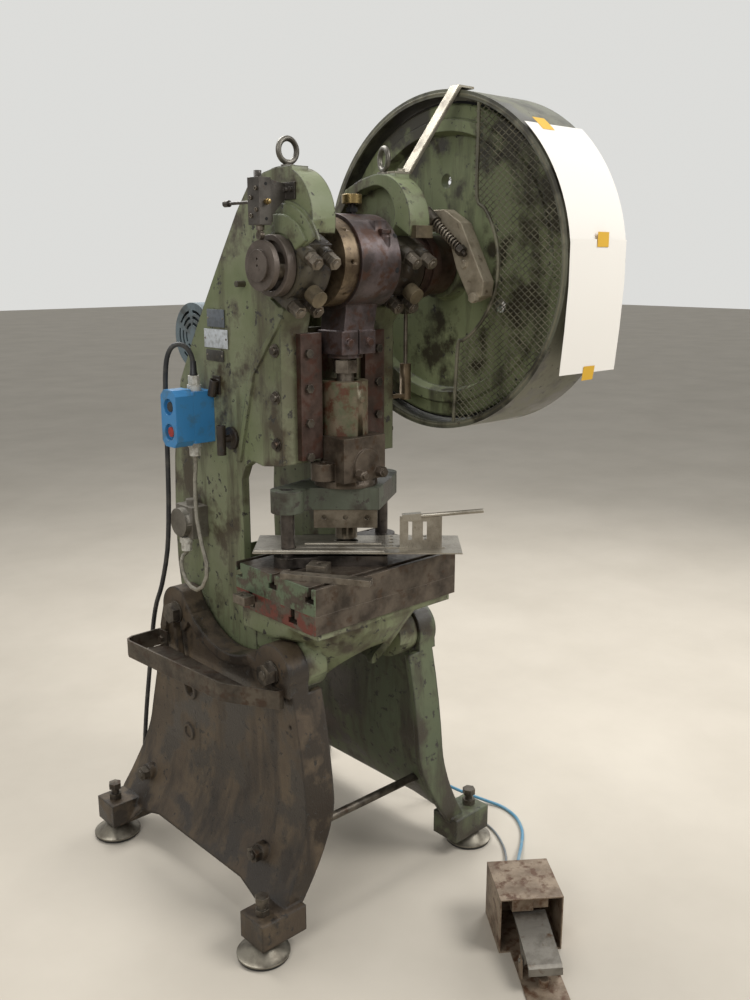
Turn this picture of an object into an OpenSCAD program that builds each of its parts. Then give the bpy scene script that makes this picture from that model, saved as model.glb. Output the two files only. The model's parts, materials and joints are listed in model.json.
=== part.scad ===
// Open-back stamping press on two cast legs, with a guarded flywheel, a motor,
// a die set and a foot pedal. The operator stands on the -Y side and the flywheel is on +X.

/* [Stand] */
// Distance between the levelling bolts across the press
foot_span_x = 696; // [640:1:760]
// Distance between the levelling bolts from front to back
foot_span_y = 682; // [640:1:740]
// Width of the foot block on each corner of the legs, across the press
foot_w = 125; // [110:1:130]
// Depth of the foot block from front to back
foot_d = 84; // [76:1:90]
// Diameter of the steel cap on a levelling mount
mount_d = 124; // [100:1:140]
// Height of the domed steel cap
mount_h = 26; // [20:1:32]
// Thickness of the rubber ring under the cap
pad_t = 8; // [5:1:12]
// Height of the foot block
block_h = 64; // [50:1:80]
// Diameter of a levelling bolt
level_bolt_d = 20; // [16:1:24]
// Outer faces of the legs' upright part, across the press
leg_w = 452; // [446:1:470]
// Thickness of the legs' cast walls
leg_wall = 14; // [10:1:18]
// Height at which the legs start to flare outwards
flare_z = 320; // [280:1:360]
// Thickness of the rounded rim along the top of the legs
rim_t = 26; // [20:1:32]
// Width of the rim across the press
rim_w = 56; // [50:1:60]
// Diameter of the tie rods
tie_d = 22; // [16:1:28]
// Height of the tie rods
tie_z = 180; // [160:1:220]

/* [Pivot and clamp] */
// Height of the pivot bolts above the floor
pivot_z = 633; // [620:1:645]
// Place of the pivot bolts in front of the middle of the feet
pivot_front = 248; // [235:1:260]
// Diameter of the pivot and clamp bolts
pivot_d = 30; // [24:1:36]
// Radius of the rounded boss round a pivot bolt
boss_r = 66; // [58:1:72]
// Distance from the pivot bolt to the clamp bolt
clamp_r = 407; // [395:1:420]
// Angle of the clamp bolt above the pivot bolt when the press is upright
clamp_angle = 5.5; // [4:0.5:7]
// Angle that the arc slot covers below the clamp bolt
slot_angle = 30; // [20:1:32]

/* [Press frame] */
// Width over the frame's cheeks
frame_w = 340; // [334:1:344]
// Thickness of a cheek's outer wall
cheek_wall = 20; // [14:1:26]
// Height of the crankshaft
crank_z = 1540; // [1510:1:1570]
// Place of the crankshaft and the ram in front of the middle of the feet
ram_front = 240; // [232:1:248]
// Radius of the domed top of a cheek
dome_r = 108; // [102:1:112]
// Height of the dome's centre above the crankshaft
dome_rise = 94; // [88:1:98]
// Depth of the open throat behind the ram
throat = 180; // [170:1:190]
// Height of the top of the throat
throat_top = 1107; // [1095:1:1115]
// Height of the top of the slide ways
way_top = 1400; // [1390:1:1410]
// Inner radius of the two crank bearings
journal_r = 38; // [34:1:42]
// Wall of a bronze crank bush
bush_t = 8; // [6:1:10]
// Outer radius of a bearing housing
housing_r = 72; // [68:1:76]
// Angle of the bearing caps below the horizontal
cap_angle = 30; // [26:1:34]
// Half the distance between a cap's studs
stud_pitch = 58; // [55:1:60]

/* [Table] */
// Height of the table's top face
table_z = 862; // [855:1:870]
// Width of the two T-slotted plates
table_w = 444; // [430:1:460]
// Depth of the two T-slotted plates
table_d = 292; // [270:1:300]
// Thickness of the upper plate
upper_t = 62; // [56:1:66]
// Thickness of the lower plate
lower_t = 44; // [40:1:50]
// Distance between T-slots
slot_pitch = 132; // [120:1:134]
// Width of a T-slot's neck
slot_neck = 15; // [12:1:18]

/* [Crank, rod and ram] */
// Throw of the crankshaft's own eccentric
crank_throw = 4; // [3:0.5:4]
// Throw added by the bronze eccentric ring
ring_throw = 4; // [3:0.5:4]
// Radius of the bronze ring's marked flange
ring_r = 96; // [92:1:99]
// Width of the bronze ring's marked flange
ring_w = 42; // [36:1:44]
// Radius of the ring's sleeve inside the rod
sleeve_r = 70; // [66:1:74]
// Outer radius of the connecting rod's big end
big_end_r = 104; // [98:1:108]
// Width of the connecting rod's big end
big_end_w = 114; // [104:1:118]
// Radius of the ram's round pot
pot_r = 52; // [50:1:54]
// Height of the top of the ram's pot
pot_top = 1284; // [1275:1:1290]
// Height of the top of the shank clamp block
shank_top = 1160; // [1155:1:1165]
// Height of the shank clamp block
shank_h = 102; // [96:1:106]
// Radius of the end disc on the crankshaft
disc_r = 52; // [48:1:56]

/* [Flywheel, guard and motor] */
// Radius of the flywheel
wheel_r = 370; // [360:1:374]
// Width of the flywheel's rim
wheel_w = 92; // [80:1:100]
// Radius of the guard band
guard_r = 398; // [392:1:404]
// Width of the guard band
guard_w = 204; // [196:1:214]
// Distance from the middle of the press to the guard's near face
guard_x = 288; // [284:1:296]
// Thickness of the guard's sheet
guard_t = 3; // [2:0.5:4]
// Radius of the motor pulley
pulley_r = 50; // [44:1:56]
// Radius of the motor body
motor_r = 78; // [72:1:82]

/* [Die set] */
// Distance between the guide pillars
pillar_span = 304; // [290:1:316]
// Diameter of a guide pillar
pillar_d = 32; // [26:1:36]
// Radius of the bosses at the ends of the upper shoe
shoe_boss_r = 38; // [34:1:42]
// Turn of the die set on the table
die_angle = -43; // [-46:1:-40]

/* [Hidden] */

// Running clearance on a radius, and the gap between faces that only pass each other
run_gap = 0.05;
face_gap = 0.3;

// Values derived from the driving sizes
foot_x = foot_span_x/2;
foot_y = foot_span_y/2;
leg_x = leg_w/2;
frame_x = frame_w/2;
mount_top = pad_t + mount_h;
block_z = mount_top + 8;
block_top = block_z + block_h;
block_out = foot_x + 32;
block_in = block_out - foot_w;
pivot_y = -pivot_front;
clamp_y = pivot_y + clamp_r*cos(clamp_angle);
clamp_z = pivot_z + clamp_r*sin(clamp_angle);
crank_y = -ram_front;
dome_y = crank_y + 10;
dome_z = crank_z + dome_rise;
dome_in = 108;
throat_y = crank_y + throat;
jamb_y = crank_y + 20;
jamb_back = jamb_y + 70;
gib_t = 16;
gib_in = 66;
jamb_in = 92;
strip_t = 6;
bearing_in = 100;
bearing_out = frame_x + 13;
housing_bore = journal_r + bush_t;
lower_z = table_z - upper_t - lower_t;
table_front = crank_y - 149;
bed_z = lower_z - 16;
bed_low = 560;
ring_in = -80;
rod_in = ring_in + ring_w;
rod_out = rod_in + big_end_w;
throw = crank_throw + ring_throw;
eccentric_r = 52;
ram_gap = throw + 0.6;
slide_x = jamb_in - strip_t - 0.1;
shoe_top = shank_top - shank_h - 16;
shoe_h = 52;
wheel_x = guard_x + 20;
wheel_out = wheel_x + wheel_w;
guard_out = guard_x + guard_w;
motor_x = -60;
motor_y = 302;
motor_z = 1358;
pulley_x = wheel_x + 16;
pulley_w = 60;

// The foot pedal stands turned in front of the right leg
pedal_x = 156;
pedal_y = -690;
pedal_turn = -37;
pedal_w = 147;
pedal_d = 150;
pedal_h = 138;
tread_y = -150;
tread_z = 38;
tread_half = 38;
foot_plate_half = 47;
foot_plate_len = 255;
pedal_front = pedal_y + foot_plate_half*sin(pedal_turn) - foot_plate_len*cos(pedal_turn);
function from_pedal(x, y, z) = [pedal_x + x*cos(pedal_turn) - y*sin(pedal_turn),
    pedal_y + x*sin(pedal_turn) + y*cos(pedal_turn), z];

// The origin is on the floor under the middle of the press's own bounding box
box_left = -foot_x - mount_d/2;
box_back = foot_y + mount_d/2;
mid_x = (box_left + guard_out)/2;
mid_y = (pedal_front + box_back)/2;

iron_green = "#6f7a5c";
iron_dark = "#4f5a42";
steel_worn = "#6a625a";
steel_bright = "#a9a49c";
bronze = "#96794a";
oil_brown = "#5f5547";

module place() {
    translate([-mid_x, -mid_y, 0]) children();
}

// Extrudes an outline drawn in Y and Z, from x0 to x1
module along_x(x0, x1) {
    translate([x0, 0, 0]) rotate([90, 0, 90]) linear_extrude(x1 - x0) children();
}

// Extrudes an outline drawn in X and Z, from y0 to y1
module along_y(y0, y1) {
    translate([0, y1, 0]) rotate([90, 0, 0]) linear_extrude(y1 - y0) children();
}

// Round bar along X, centred on y and z
module bar_x(x0, x1, y, z, r, sides = 48) {
    translate([x0, y, z]) rotate([0, 90, 0]) cylinder(h = x1 - x0, r = r, $fn = sides);
}

// Round bar along Y, centred on x and z
module bar_y(y0, y1, x, z, r, sides = 48) {
    translate([x, y1, z]) rotate([90, 0, 0]) cylinder(h = y1 - y0, r = r, $fn = sides);
}

// Hexagon prism along X, given by its width across flats
module hex_x(x0, x1, y, z, flats) {
    bar_x(x0, x1, y, z, flats/2/cos(30), 6);
}

// Upright bar with its foot at z
module bar_z(x, y, z0, z1, r, sides = 48) {
    translate([x, y, z0]) cylinder(h = z1 - z0, r = r, $fn = sides);
}

module mirrored() {
    children();
    mirror([1, 0, 0]) children();
}

// Everything round the crankshaft's axis, turned to the direction of the bearing caps
module at_cap() {
    translate([0, crank_y, crank_z]) rotate([cap_angle, 0, 0]) children();
}

// Outer face of a leg at a height, straight above the flare and curved out to the foot below it
flare_steps = 12;
function flare(z) = z >= flare_z ? leg_x
    : leg_x + flare_out*pow((flare_z - z)/(flare_z - block_top), 1.7);
flare_out = 74;
flange_in_top = leg_x - 84;
flange_in_foot = block_in - 11;
function flange_in(z) = z >= flare_z ? flange_in_top
    : flange_in_top + (flange_in_foot - flange_in_top)*pow((flare_z - z)/(flare_z - block_top), 1.5);
leg_top = clamp_z + boss_r + 20;
flare_heights = concat([for (i = [0:flare_steps]) block_z + (flare_z - block_z)*i/flare_steps], [leg_top]);

// Front edge of a leg, leaning forward towards the foot
step_z = pivot_z - 46;
front_top = pivot_y - 64;
front_low = -foot_y - 22;
function leg_front(z) = front_low + (front_top - front_low)*pow(max(0, z - block_top)/(step_z - block_top), 2.2);
rear_low = foot_y + foot_d/2 + 3;
rear_top = clamp_y + boss_r;
function leg_rear(z) = rear_low + (rear_top - rear_low)*pow(max(0, z - block_top)/(clamp_z - block_top), 1.2);

// Side outline of a leg: bosses at the pivot and clamp bolts, a hollow rim between them
// that follows the frame's belly, and a low arch between the feet
leg_steps = 8;
arch_z = block_z + 60;
belly_r = 205;
belly_y = (pivot_y + clamp_y)/2 - 8;
belly_z = pivot_z + belly_r - 8;
module leg_outline() {
    difference() {
        union() {
            polygon(concat(
                [for (i = [0:leg_steps]) let (z = block_z + (step_z - block_z)*i/leg_steps) [leg_front(z), z]],
                [[pivot_y - boss_r + 4, pivot_z - 20], [pivot_y, pivot_z]],
                [[clamp_y, clamp_z + 20], [rear_top - 2, clamp_z]],
                [for (i = [0:leg_steps]) let (z = clamp_z + (block_z - clamp_z)*i/leg_steps) [leg_rear(z), z]],
                [[foot_y - foot_d/2, block_z], [foot_y - foot_d/2 - 30, arch_z - 18],
                 [foot_y - foot_d/2 - 110, arch_z], [-foot_y + foot_d/2 + 110, arch_z],
                 [-foot_y + foot_d/2 + 30, arch_z - 18], [-foot_y + foot_d/2, block_z]]));
            translate([pivot_y, pivot_z]) circle(r = boss_r, $fn = 64);
            translate([clamp_y, clamp_z]) circle(r = boss_r, $fn = 64);
        }
        translate([belly_y, belly_z]) circle(r = belly_r, $fn = 96);
    }
}

module slot_outline(w) {
    mid = clamp_angle - slot_angle/2;
    translate([pivot_y, pivot_z]) {
        intersection() {
            difference() {
                circle(r = clamp_r + w/2, $fn = 96);
                circle(r = clamp_r - w/2, $fn = 96);
            }
            polygon([[0, 0], [2*clamp_r*cos(clamp_angle), 2*clamp_r*sin(clamp_angle)],
                [2*clamp_r*cos(mid), 2*clamp_r*sin(mid)],
                [2*clamp_r*cos(clamp_angle - slot_angle), 2*clamp_r*sin(clamp_angle - slot_angle)]]);
        }
        for (a = [clamp_angle, clamp_angle - slot_angle]) rotate(a) translate([clamp_r, 0]) circle(d = w - 0.1, $fn = 32);
    }
}

module flared_band(inner) {
    polygon(concat(
        [for (z = flare_heights) [flare(z), z]],
        [for (i = [len(flare_heights) - 1:-1:0]) let (z = flare_heights[i])
            [inner ? flange_in(z) : flare(z) - leg_wall, z]]));
}

slot_w = pivot_d + 2;
// One leg casting, on the +X side
module leg() {
    difference() {
        union() {
            intersection() {
                along_x(leg_x - leg_wall - 2, foot_x) leg_outline();
                along_y(-foot_y - 60, foot_y + 60) flared_band(false);
            }
            intersection() {
                along_x(flange_in_top, foot_x) union() {
                    polygon(concat(
                        [for (i = [0:leg_steps]) let (z = block_z + (step_z - block_z)*i/leg_steps) [leg_front(z), z]],
                        [for (i = [leg_steps:-1:0]) let (z = block_z + (step_z - block_z)*i/leg_steps)
                            [leg_front(z) + leg_wall + 2, z]]));
                    polygon(concat(
                        [for (i = [0:leg_steps]) let (z = block_z + (clamp_z - 80 - block_z)*i/leg_steps) [leg_rear(z), z]],
                        [for (i = [leg_steps:-1:0]) let (z = block_z + (clamp_z - 80 - block_z)*i/leg_steps)
                            [leg_rear(z) - leg_wall - 2, z]]));
                }
                along_y(-foot_y - 60, foot_y + 60) flared_band(true);
            }
            along_x(leg_x - rim_w + 10, leg_x + 10) intersection() {
                difference() {
                    leg_outline();
                    offset(delta = -rim_t) leg_outline();
                }
                translate([front_top - 40, step_z]) square([rear_top - front_top + 60, leg_top]);
            }
            for (p = [[pivot_y, pivot_z], [clamp_y, clamp_z]])
                bar_x(leg_x - rim_w + 10, leg_x + 10, p[0], p[1], boss_r - 14);
            for (y = [-foot_y, foot_y])
                translate([block_in, y - foot_d/2, block_z]) cube([foot_w, foot_d, block_h]);
            along_x(leg_x - 1, leg_x + 5) difference() {
                slot_outline(slot_w + 22);
                translate([clamp_y - 60, clamp_z - 40]) square([120, 120]);
            }
            bar_x(leg_x - 1, leg_x + 5, 138, 340, 23);
            for (y = [tie_front, tie_rear]) bar_x(tie_seat - 22, tie_seat, y, tie_z, tie_d);
        }
        bar_x(leg_x - rim_w, leg_x + 20, pivot_y, pivot_z, pivot_d/2 + run_gap);
        along_x(leg_x - rim_w - 20, leg_x + 20) slot_outline(slot_w);
        bar_x(leg_x + 1, leg_x + 9, 138, 340, 15);
        bar_x(leg_x - 20, leg_x + 9, -300, 511, 5, 24);
        for (y = [-foot_y, foot_y]) bar_z(foot_x, y, block_z - 1, block_top + 1, level_bolt_d/2 + run_gap);
        for (y = [tie_front, tie_rear]) bar_x(tie_seat - 42, tie_seat + 30, y, tie_z, tie_d/2 + run_gap);
    }
}

tie_front = -232;
tie_rear = 285;
tie_seat = flare(tie_z) + 17;

module left_leg() {
    color(oil_brown) place() mirror([1, 0, 0]) leg();
}

// The right leg also has two plain bosses where the pedal's hose and cable end
line_y = [-60, -20];
line_z = 300;
module right_leg() {
    color(iron_green) place() {
        leg();
        for (y = line_y) bar_x(leg_x - 4, leg_x + 12, y, line_z, 10, 32);
    }
}

// Two rods through both legs, each with a nut outside each leg
module tie_rods() {
    color(steel_worn) place() for (y = [tie_front, tie_rear]) {
        bar_x(-tie_seat - 24, tie_seat + 24, y, tie_z, tie_d/2);
        mirrored() hex_x(tie_seat, tie_seat + 18, y, tie_z, tie_d*1.6);
    }
}

module at_feet() {
    for (x = [-foot_x, foot_x], y = [-foot_y, foot_y]) translate([x, y, 0]) children();
}

// Domed steel cap with a rolled rim, open below over its rubber ring
module levelling_mounts() {
    color(steel_bright) place() at_feet() rotate_extrude($fn = 64) polygon([
        [0, mount_top], [mount_d*0.16, mount_top], [mount_d*0.22, mount_top - 3],
        [mount_d*0.36, pad_t + mount_h*0.45], [mount_d*0.46, pad_t + 4], [mount_d*0.5, pad_t + 3],
        [mount_d*0.5, pad_t], [0, pad_t]]);
}

module mount_pads() {
    color("#1d1d1d") place() at_feet() rotate_extrude($fn = 64) polygon([
        [0, 0], [mount_d/2 - 4, 0], [mount_d/2 - 2, 2], [mount_d/2 - 2, pad_t - 1], [mount_d/2 - 3, pad_t], [0, pad_t]]);
}

// Hexagon bolt through each foot block, standing on the cap, with its locknut
module levelling_bolts() {
    color(steel_worn) place() at_feet() {
        bar_z(0, 0, mount_top, block_top + 34, level_bolt_d/2);
        bar_z(0, 0, block_top, block_top + 16, level_bolt_d*0.87, 6);
        bar_z(0, 0, block_top + 30, block_top + 46, level_bolt_d*0.87, 6);
    }
}

nut_face = leg_x + 10;
// Pivot bolts that carry the frame's two ears
module pivot_bolts() {
    color(steel_worn) place() mirrored() {
        bar_x(ear_in + 20, nut_face + 4, pivot_y, pivot_z, pivot_d/2);
        bar_x(nut_face, nut_face + 4, pivot_y, pivot_z, pivot_d*0.95);
        hex_x(nut_face + 4, nut_face + 26, pivot_y, pivot_z, pivot_d*1.55);
        bar_x(nut_face + 26, nut_face + 30, pivot_y, pivot_z, pivot_d*0.35);
    }
}

// Flat strap bent round and bolted to the left leg, closed below by a sheet floor
tray_z = 558;
tray_h = 45;
tray_x = -nut_face - 109;
tray_front = -290;
tray_back = 246;
tray_t = 5;
module tray_outline() {
    polygon([[-nut_face, tray_front], [-nut_face - 12, tray_front], [tray_x + 36, tray_front + 108],
        [tray_x + 24, tray_front + 132], [tray_x, tray_back - 26], [tray_x + 6, tray_back - 10],
        [tray_x + 24, tray_back], [-nut_face, tray_back]]);
}
module tool_tray() {
    color(oil_brown) place() {
        translate([0, 0, tray_z]) linear_extrude(tray_h) difference() {
            tray_outline();
            offset(delta = -tray_t) tray_outline();
            translate([-nut_face - tray_t - 0.5, tray_front + 40]) square([40, tray_back - tray_front - 80]);
        }
        translate([0, 0, tray_z + 4]) linear_extrude(2) intersection() {
            tray_outline();
            translate([tray_x, tray_front + 40]) square([-leg_x - 12 - tray_x, tray_back - tray_front - 60]);
        }
        for (y = [tray_front + 20, tray_back - 16])
            bar_x(-nut_face - tray_t - 8, -nut_face - tray_t, y, tray_z + 20, 10, 6);
    }
}

// Foot pedal: a hood over a long base plate with two ears for the treadle, and a switch inside
module at_pedal() {
    translate([pedal_x, pedal_y, 0]) rotate([0, 0, pedal_turn]) children();
}
module pedal_guard() {
    color(oil_brown) place() at_pedal() {
        difference() {
            translate([-pedal_w/2, -pedal_d/2, 0]) cube([pedal_w, pedal_d, pedal_h]);
            translate([-pedal_w/2 + 3, -pedal_d/2 - 1, 3]) cube([pedal_w - 6, pedal_d - 2, pedal_h - 6]);
        }
        translate([-foot_plate_half, -foot_plate_len, 0]) cube([2*foot_plate_half, foot_plate_len - 60, 3]);
        translate([-42, -58, pedal_h - 44]) cube([50, 70, 42]);
        translate([8, -54, pedal_h - 40]) cube([36, 62, 38]);
        for (x = [-tread_half - 6, tread_half + 2]) difference() {
            along_x(x, x + 4) polygon([[tread_y - 16, 2], [tread_y + 16, 2], [tread_y + 9, tread_z + 8],
                [tread_y - 9, tread_z + 8]]);
            bar_x(x - 1, x + 5, tread_y, tread_z, 5 + run_gap, 32);
        }
        bar_z(0, tread_y - 42, 3, 22, 11, 32);
    }
}
module treadle() {
    color(oil_brown) place() at_pedal() {
        bar_x(-tread_half - 9, tread_half + 9, tread_y, tread_z, 5, 32);
        along_x(-tread_half, tread_half) polygon([[-46, 84], [-50, 90], [-196, 61], [-204, 56], [-207, 40],
            [-202, 38], [-199, 52], [-192, 56]]);
        for (x = [-tread_half, tread_half - 4]) along_x(x, x + 4) polygon([[tread_y + 40, 75], [tread_y - 36, 60],
            [tread_y - 10, tread_z - 7], [tread_y + 10, tread_z - 7]]);
    }
}

// Sweeps a round tube along a list of points
function unit(v) = v/norm(v);
function tangent(p, i) = unit(p[min(i + 1, len(p) - 1)] - p[max(i - 1, 0)]);
function side_of(t) = abs(t[2]) > 0.9 ? unit(cross(t, [0, 1, 0])) : unit(cross(t, [0, 0, 1]));
function ring_at(p, t, s, r, n) = [for (k = [0:n - 1]) p + r*(cos(360*k/n)*s + sin(360*k/n)*cross(t, s))];
function carried(p, i, s) = unit(s - (s*tangent(p, i))*tangent(p, i));
function sides(p, i = 0, s = undef) = i >= len(p) ? []
    : let (now = i == 0 ? side_of(tangent(p, 0)) : carried(p, i, s)) concat([now], sides(p, i + 1, now));
module tube(path, r, n = 8) {
    side = sides(path);
    points = [for (i = [0:len(path) - 1]) each ring_at(path[i], tangent(path, i), side[i], r, n)];
    last = (len(path) - 1)*n;
    polyhedron(points, concat([[for (k = [0:n - 1]) k]],
        [for (i = [0:len(path) - 2], k = [0:n - 1])
            [i*n + k, (i + 1)*n + k, (i + 1)*n + (k + 1)%n, i*n + (k + 1)%n]],
        [[for (k = [n - 1:-1:0]) last + k]]));
}

hose_r = 4.5;
hose_route = [[leg_x + 12 + face_gap, line_y[0], line_z], [256, line_y[0], 296], [292, -62, 250], [350, -72, 160],
    [408, -100, 84], [456, -146, 46], [490, -200, 28], [518, -255, 12], [534, -310, 6], [520, -370, 6],
    [480, -425, 6], [425, -468, 8], [370, -505, 18], [318, -542, 32], from_pedal(20, 140, 39),
    from_pedal(20, 112, 40), from_pedal(20, 90, 40), from_pedal(20, pedal_d/2, 40)];
module pedal_hose() {
    color("#5d7f8c") place() tube(hose_route, hose_r);
}
cable_r = 3;
cable_route = [[leg_x + 12 + face_gap, line_y[1], line_z], [252, line_y[1], 297], [280, -24, 255], [325, -40, 150],
    [372, -80, 60], [408, -140, 16], [428, -210, 5], [438, -290, 5], [425, -365, 5], [390, -430, 5],
    [350, -476, 8], [308, -510, 18], [268, -540, 28], from_pedal(-20, 130, 33), from_pedal(-20, 100, 34),
    from_pedal(-20, pedal_d/2, 34)];
module pedal_cable() {
    color("#7c7f80") place() tube(cable_route, cable_r);
}

// Side outline of a cheek: a dome over the crank bearing, the slide ways, the open throat
// and a long curved back
back_points = [[-174, 1733], [-120, 1712], [-70, 1655], [19, 1529], [80, 1440],
    [130, 1365], [194, 1260], [218, 1170], [238, 1060], [246, 941], [248, 850], [246, 777], [236, 715],
    [220, 660], [190, 610], [140, 575], [80, bed_low]];
module cheek_outline() {
    translate([dome_y, dome_z]) circle(r = dome_r, $fn = 96);
    polygon(concat(
        [[dome_y - dome_r, dome_z], [dome_y, dome_z + dome_r]], back_points,
        [[throat_y - 40, bed_low], [table_front + table_d + face_gap, lower_z], [throat_y, lower_z + 20],
         [throat_y, throat_top - 60], [throat_y - 16, throat_top - 28], [throat_y - 46, throat_top - 10],
         [throat_y - 84, throat_top - 16], [jamb_y, throat_top - 6],
         [jamb_y, way_top], [crank_y + 8, way_top + 40], [crank_y, crank_z - housing_r + 8],
         [crank_y, crank_z]]));
}

// Thick rim round the top of a cheek, hollow towards the crank
module dome_rim() {
    difference() {
        union() {
            translate([dome_y, dome_z]) circle(r = dome_r, $fn = 96);
            polygon([[dome_y + 10, dome_z + dome_r - 1], [-174, 1733], [-120, 1712], [-70, 1655], [19, 1529],
                [0, 1508], [-100, 1590]]);
        }
        translate([dome_y + 8, dome_z + 18]) circle(r = dome_r - 42, $fn = 96);
        polygon([[dome_y + 12, dome_z + 84], [-178, 1711], [-130, 1692], [-88, 1642], [-12, 1532],
            [-60, 1490], [-200, 1560]]);
    }
}

// Raised arcs that step down from the dome to a bearing, on its front half
module shoulder(r) {
    intersection() {
        circle(r = r, $fn = 96);
        polygon([[-10, 30], [6, r + 5], [-r - 5, r + 5], [-r - 5, 0], [-20, 0]]);
    }
}

bed_front = table_front + 6;
ear_in = 118;
cone_y = crank_y + 84;
cone_low = 126;
cone_high = 240;
cone_h = bed_z - bed_low;
// The cast C-frame with both cheeks, ways, bed and bearing housings
module frame_casting() {
    color(iron_green) place() difference() {
        union() {
            mirrored() {
                along_x(frame_x - cheek_wall, frame_x) cheek_outline();
                along_x(dome_in, frame_x) dome_rim();
                translate([frame_x - 44, stay_y - 14, stay_z - 40]) cube([44, 28, 40]);
                along_x(jamb_in, frame_x) polygon([[jamb_y, throat_top - 6], [jamb_y, way_top],
                    [crank_y + 8, way_top + 40], [crank_y, crank_z - housing_r + 8], [crank_y, crank_z + 20],
                    [jamb_back, crank_z], [jamb_back, throat_top - 16]]);
                bar_x(bearing_in, bearing_out, crank_y, crank_z, housing_r, 64);
                bar_x(frame_x - 4, frame_x + 7, crank_y, crank_z, housing_r + 16, 64);
                bar_x(ear_in, frame_x + 8, pivot_y, pivot_z, boss_r - 8, 64);
                bar_x(frame_x - cheek_wall - 20, frame_x + 8, clamp_y, clamp_z, boss_r - 12, 64);
                along_x(frame_x - 1, frame_x + 6) polygon([[crank_y + 4, 1430], [-124, 1299], [-62, 1089],
                    [-46, 1089], [-108, 1304], [crank_y + 18, 1436]]);
            }
            along_x(-frame_x - 5, -frame_x + 1) translate([crank_y, crank_z]) shoulder(133);
            along_x(-frame_x - 10, -frame_x + 1) translate([crank_y, crank_z]) shoulder(111);
            along_x(-jamb_in - 2, jamb_in + 2) polygon([[jamb_back, way_top], [jamb_back, throat_top],
                [jamb_back + 16, throat_top], [jamb_back + 16, way_top]]);
            along_x(-frame_x + 2, frame_x - 2) polygon([[20, 1470], [40, 1480], [196, 1200], [176, 1190]]);
            along_x(-frame_x + 2, frame_x - 2) polygon([[190, 612], [220, 664], [246, 780], [226, 786],
                [202, 690], [172, 632], [60, 580], [60, bed_low], [140, 576]]);
            intersection() {
                translate([0, cone_y, bed_low]) cylinder(h = cone_h, r1 = cone_low, r2 = cone_high, $fn = 96);
                union() {
                    translate([-frame_x + 2, bed_front, bed_low])
                        cube([2*frame_x - 4, throat_y + 60 - bed_front, bed_z]);
                    translate([-table_w/2 + 14, bed_front, bed_z - 40])
                        cube([table_w - 28, crank_y + 140 - bed_front, 41]);
                }
            }
            translate([-table_w/2 + 14, bed_front, bed_z]) cube([table_w - 28, throat_y - 40 - bed_front, lower_z - bed_z]);
            translate([-frame_x, throat_y - 60, bed_z - 60]) cube([2*frame_x, 100, lower_z - bed_z + 60]);
        }
        bar_x(-bearing_out - 5, bearing_out + 5, crank_y, crank_z, housing_bore, 64);
        at_cap() mirrored() translate([bearing_in - 1, -200, -stud_pitch - 24])
            cube([bearing_out - bearing_in + 12, 200, 2*stud_pitch + 70]);
        at_cap() translate([-jamb_in - 20, -200, -stud_pitch - 24]) cube([2*jamb_in + 40, 200, 2*stud_pitch + 70]);
        intersection() {
            translate([0, cone_y, bed_low - 1]) cylinder(h = cone_h - 25, r1 = cone_low - 20,
                r2 = cone_low - 20 + (cone_high - cone_low)*(cone_h - 25)/cone_h, $fn = 96);
            translate([2 - ear_in, bed_front - 1, bed_low - 2]) cube([2*ear_in - 4, -bed_front - 20, cone_h]);
        }
        bar_z(0, crank_y + 20, bed_low - 5, lower_z + 5, 84, 64);
        bar_y(bed_front - 20, crank_y, 0, bed_low + 10, 96, 64);
        translate([-frame_x + cheek_wall, throat_y + 30, bed_low + 60])
            cube([2*frame_x - 2*cheek_wall, 150, bed_z - bed_low - 76]);
        mirrored() bar_x(ear_in - 5, frame_x + 12, pivot_y, pivot_z, pivot_d/2 + run_gap);
        mirrored() bar_x(frame_x - cheek_wall - 25, frame_x + 12, clamp_y, clamp_z, pivot_d/2 + run_gap);
        for (x = [-eye_x, eye_x]) bar_z(x, eye_y, dome_z + dome_r - 16, dome_z + dome_r + 5, 8, 32);
        at_cap() for (x = [-stud_x2, -stud_x1, stud_x1, stud_x2], z = [-stud_pitch, stud_pitch])
            translate([x, 30, z]) rotate([90, 0, 0]) cylinder(h = 60, r = stud_r, $fn = 32);
    }
}

stud_r = 8;
stud_x1 = 120;
stud_x2 = 168;
cap_t = 66;
// Two bearing caps, each held by four studs
module bearing_caps() {
    color(iron_dark) place() mirrored() at_cap() difference() {
        union() {
            intersection() {
                bar_x(bearing_in, bearing_out, 0, 0, housing_r, 64);
                translate([bearing_in, -housing_r - 1, -housing_r - 1])
                    cube([bearing_out - bearing_in, housing_r + 1 - face_gap, 2*housing_r + 2]);
            }
            translate([bearing_in, -cap_t + 22, -stud_pitch - 18])
                cube([bearing_out - bearing_in - 8, cap_t - 22 - face_gap, 2*stud_pitch + 36]);
            for (x = [stud_x1, stud_x2], z = [-stud_pitch, stud_pitch])
                translate([x, -face_gap, z]) rotate([90, 0, 0]) cylinder(h = cap_t - face_gap, r = 17, $fn = 32);
        }
        bar_x(bearing_in - 1, bearing_out + 1, 0, 0, housing_bore, 64);
        for (x = [stud_x1, stud_x2], z = [-stud_pitch, stud_pitch])
            translate([x, 5, z]) rotate([90, 0, 0]) cylinder(h = cap_t + 10, r = stud_r + run_gap, $fn = 32);
        translate([(stud_x1 + stud_x2)/2, 0, -18]) rotate([90, 0, 0]) cylinder(h = 100, r = 6, $fn = 24);
    }
}

module cap_studs() {
    color(steel_bright) place() mirrored() at_cap()
        for (x = [stud_x1, stud_x2], z = [-stud_pitch, stud_pitch]) translate([x, 0, z]) rotate([90, 0, 0]) {
            translate([0, 0, -28]) cylinder(h = 28 + cap_t + 34, r = stud_r, $fn = 32);
            translate([0, 0, cap_t]) cylinder(h = 14, r = 15, $fn = 6);
            translate([0, 0, cap_t + 15]) cylinder(h = 14, r = 15, $fn = 6);
        }
}

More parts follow.
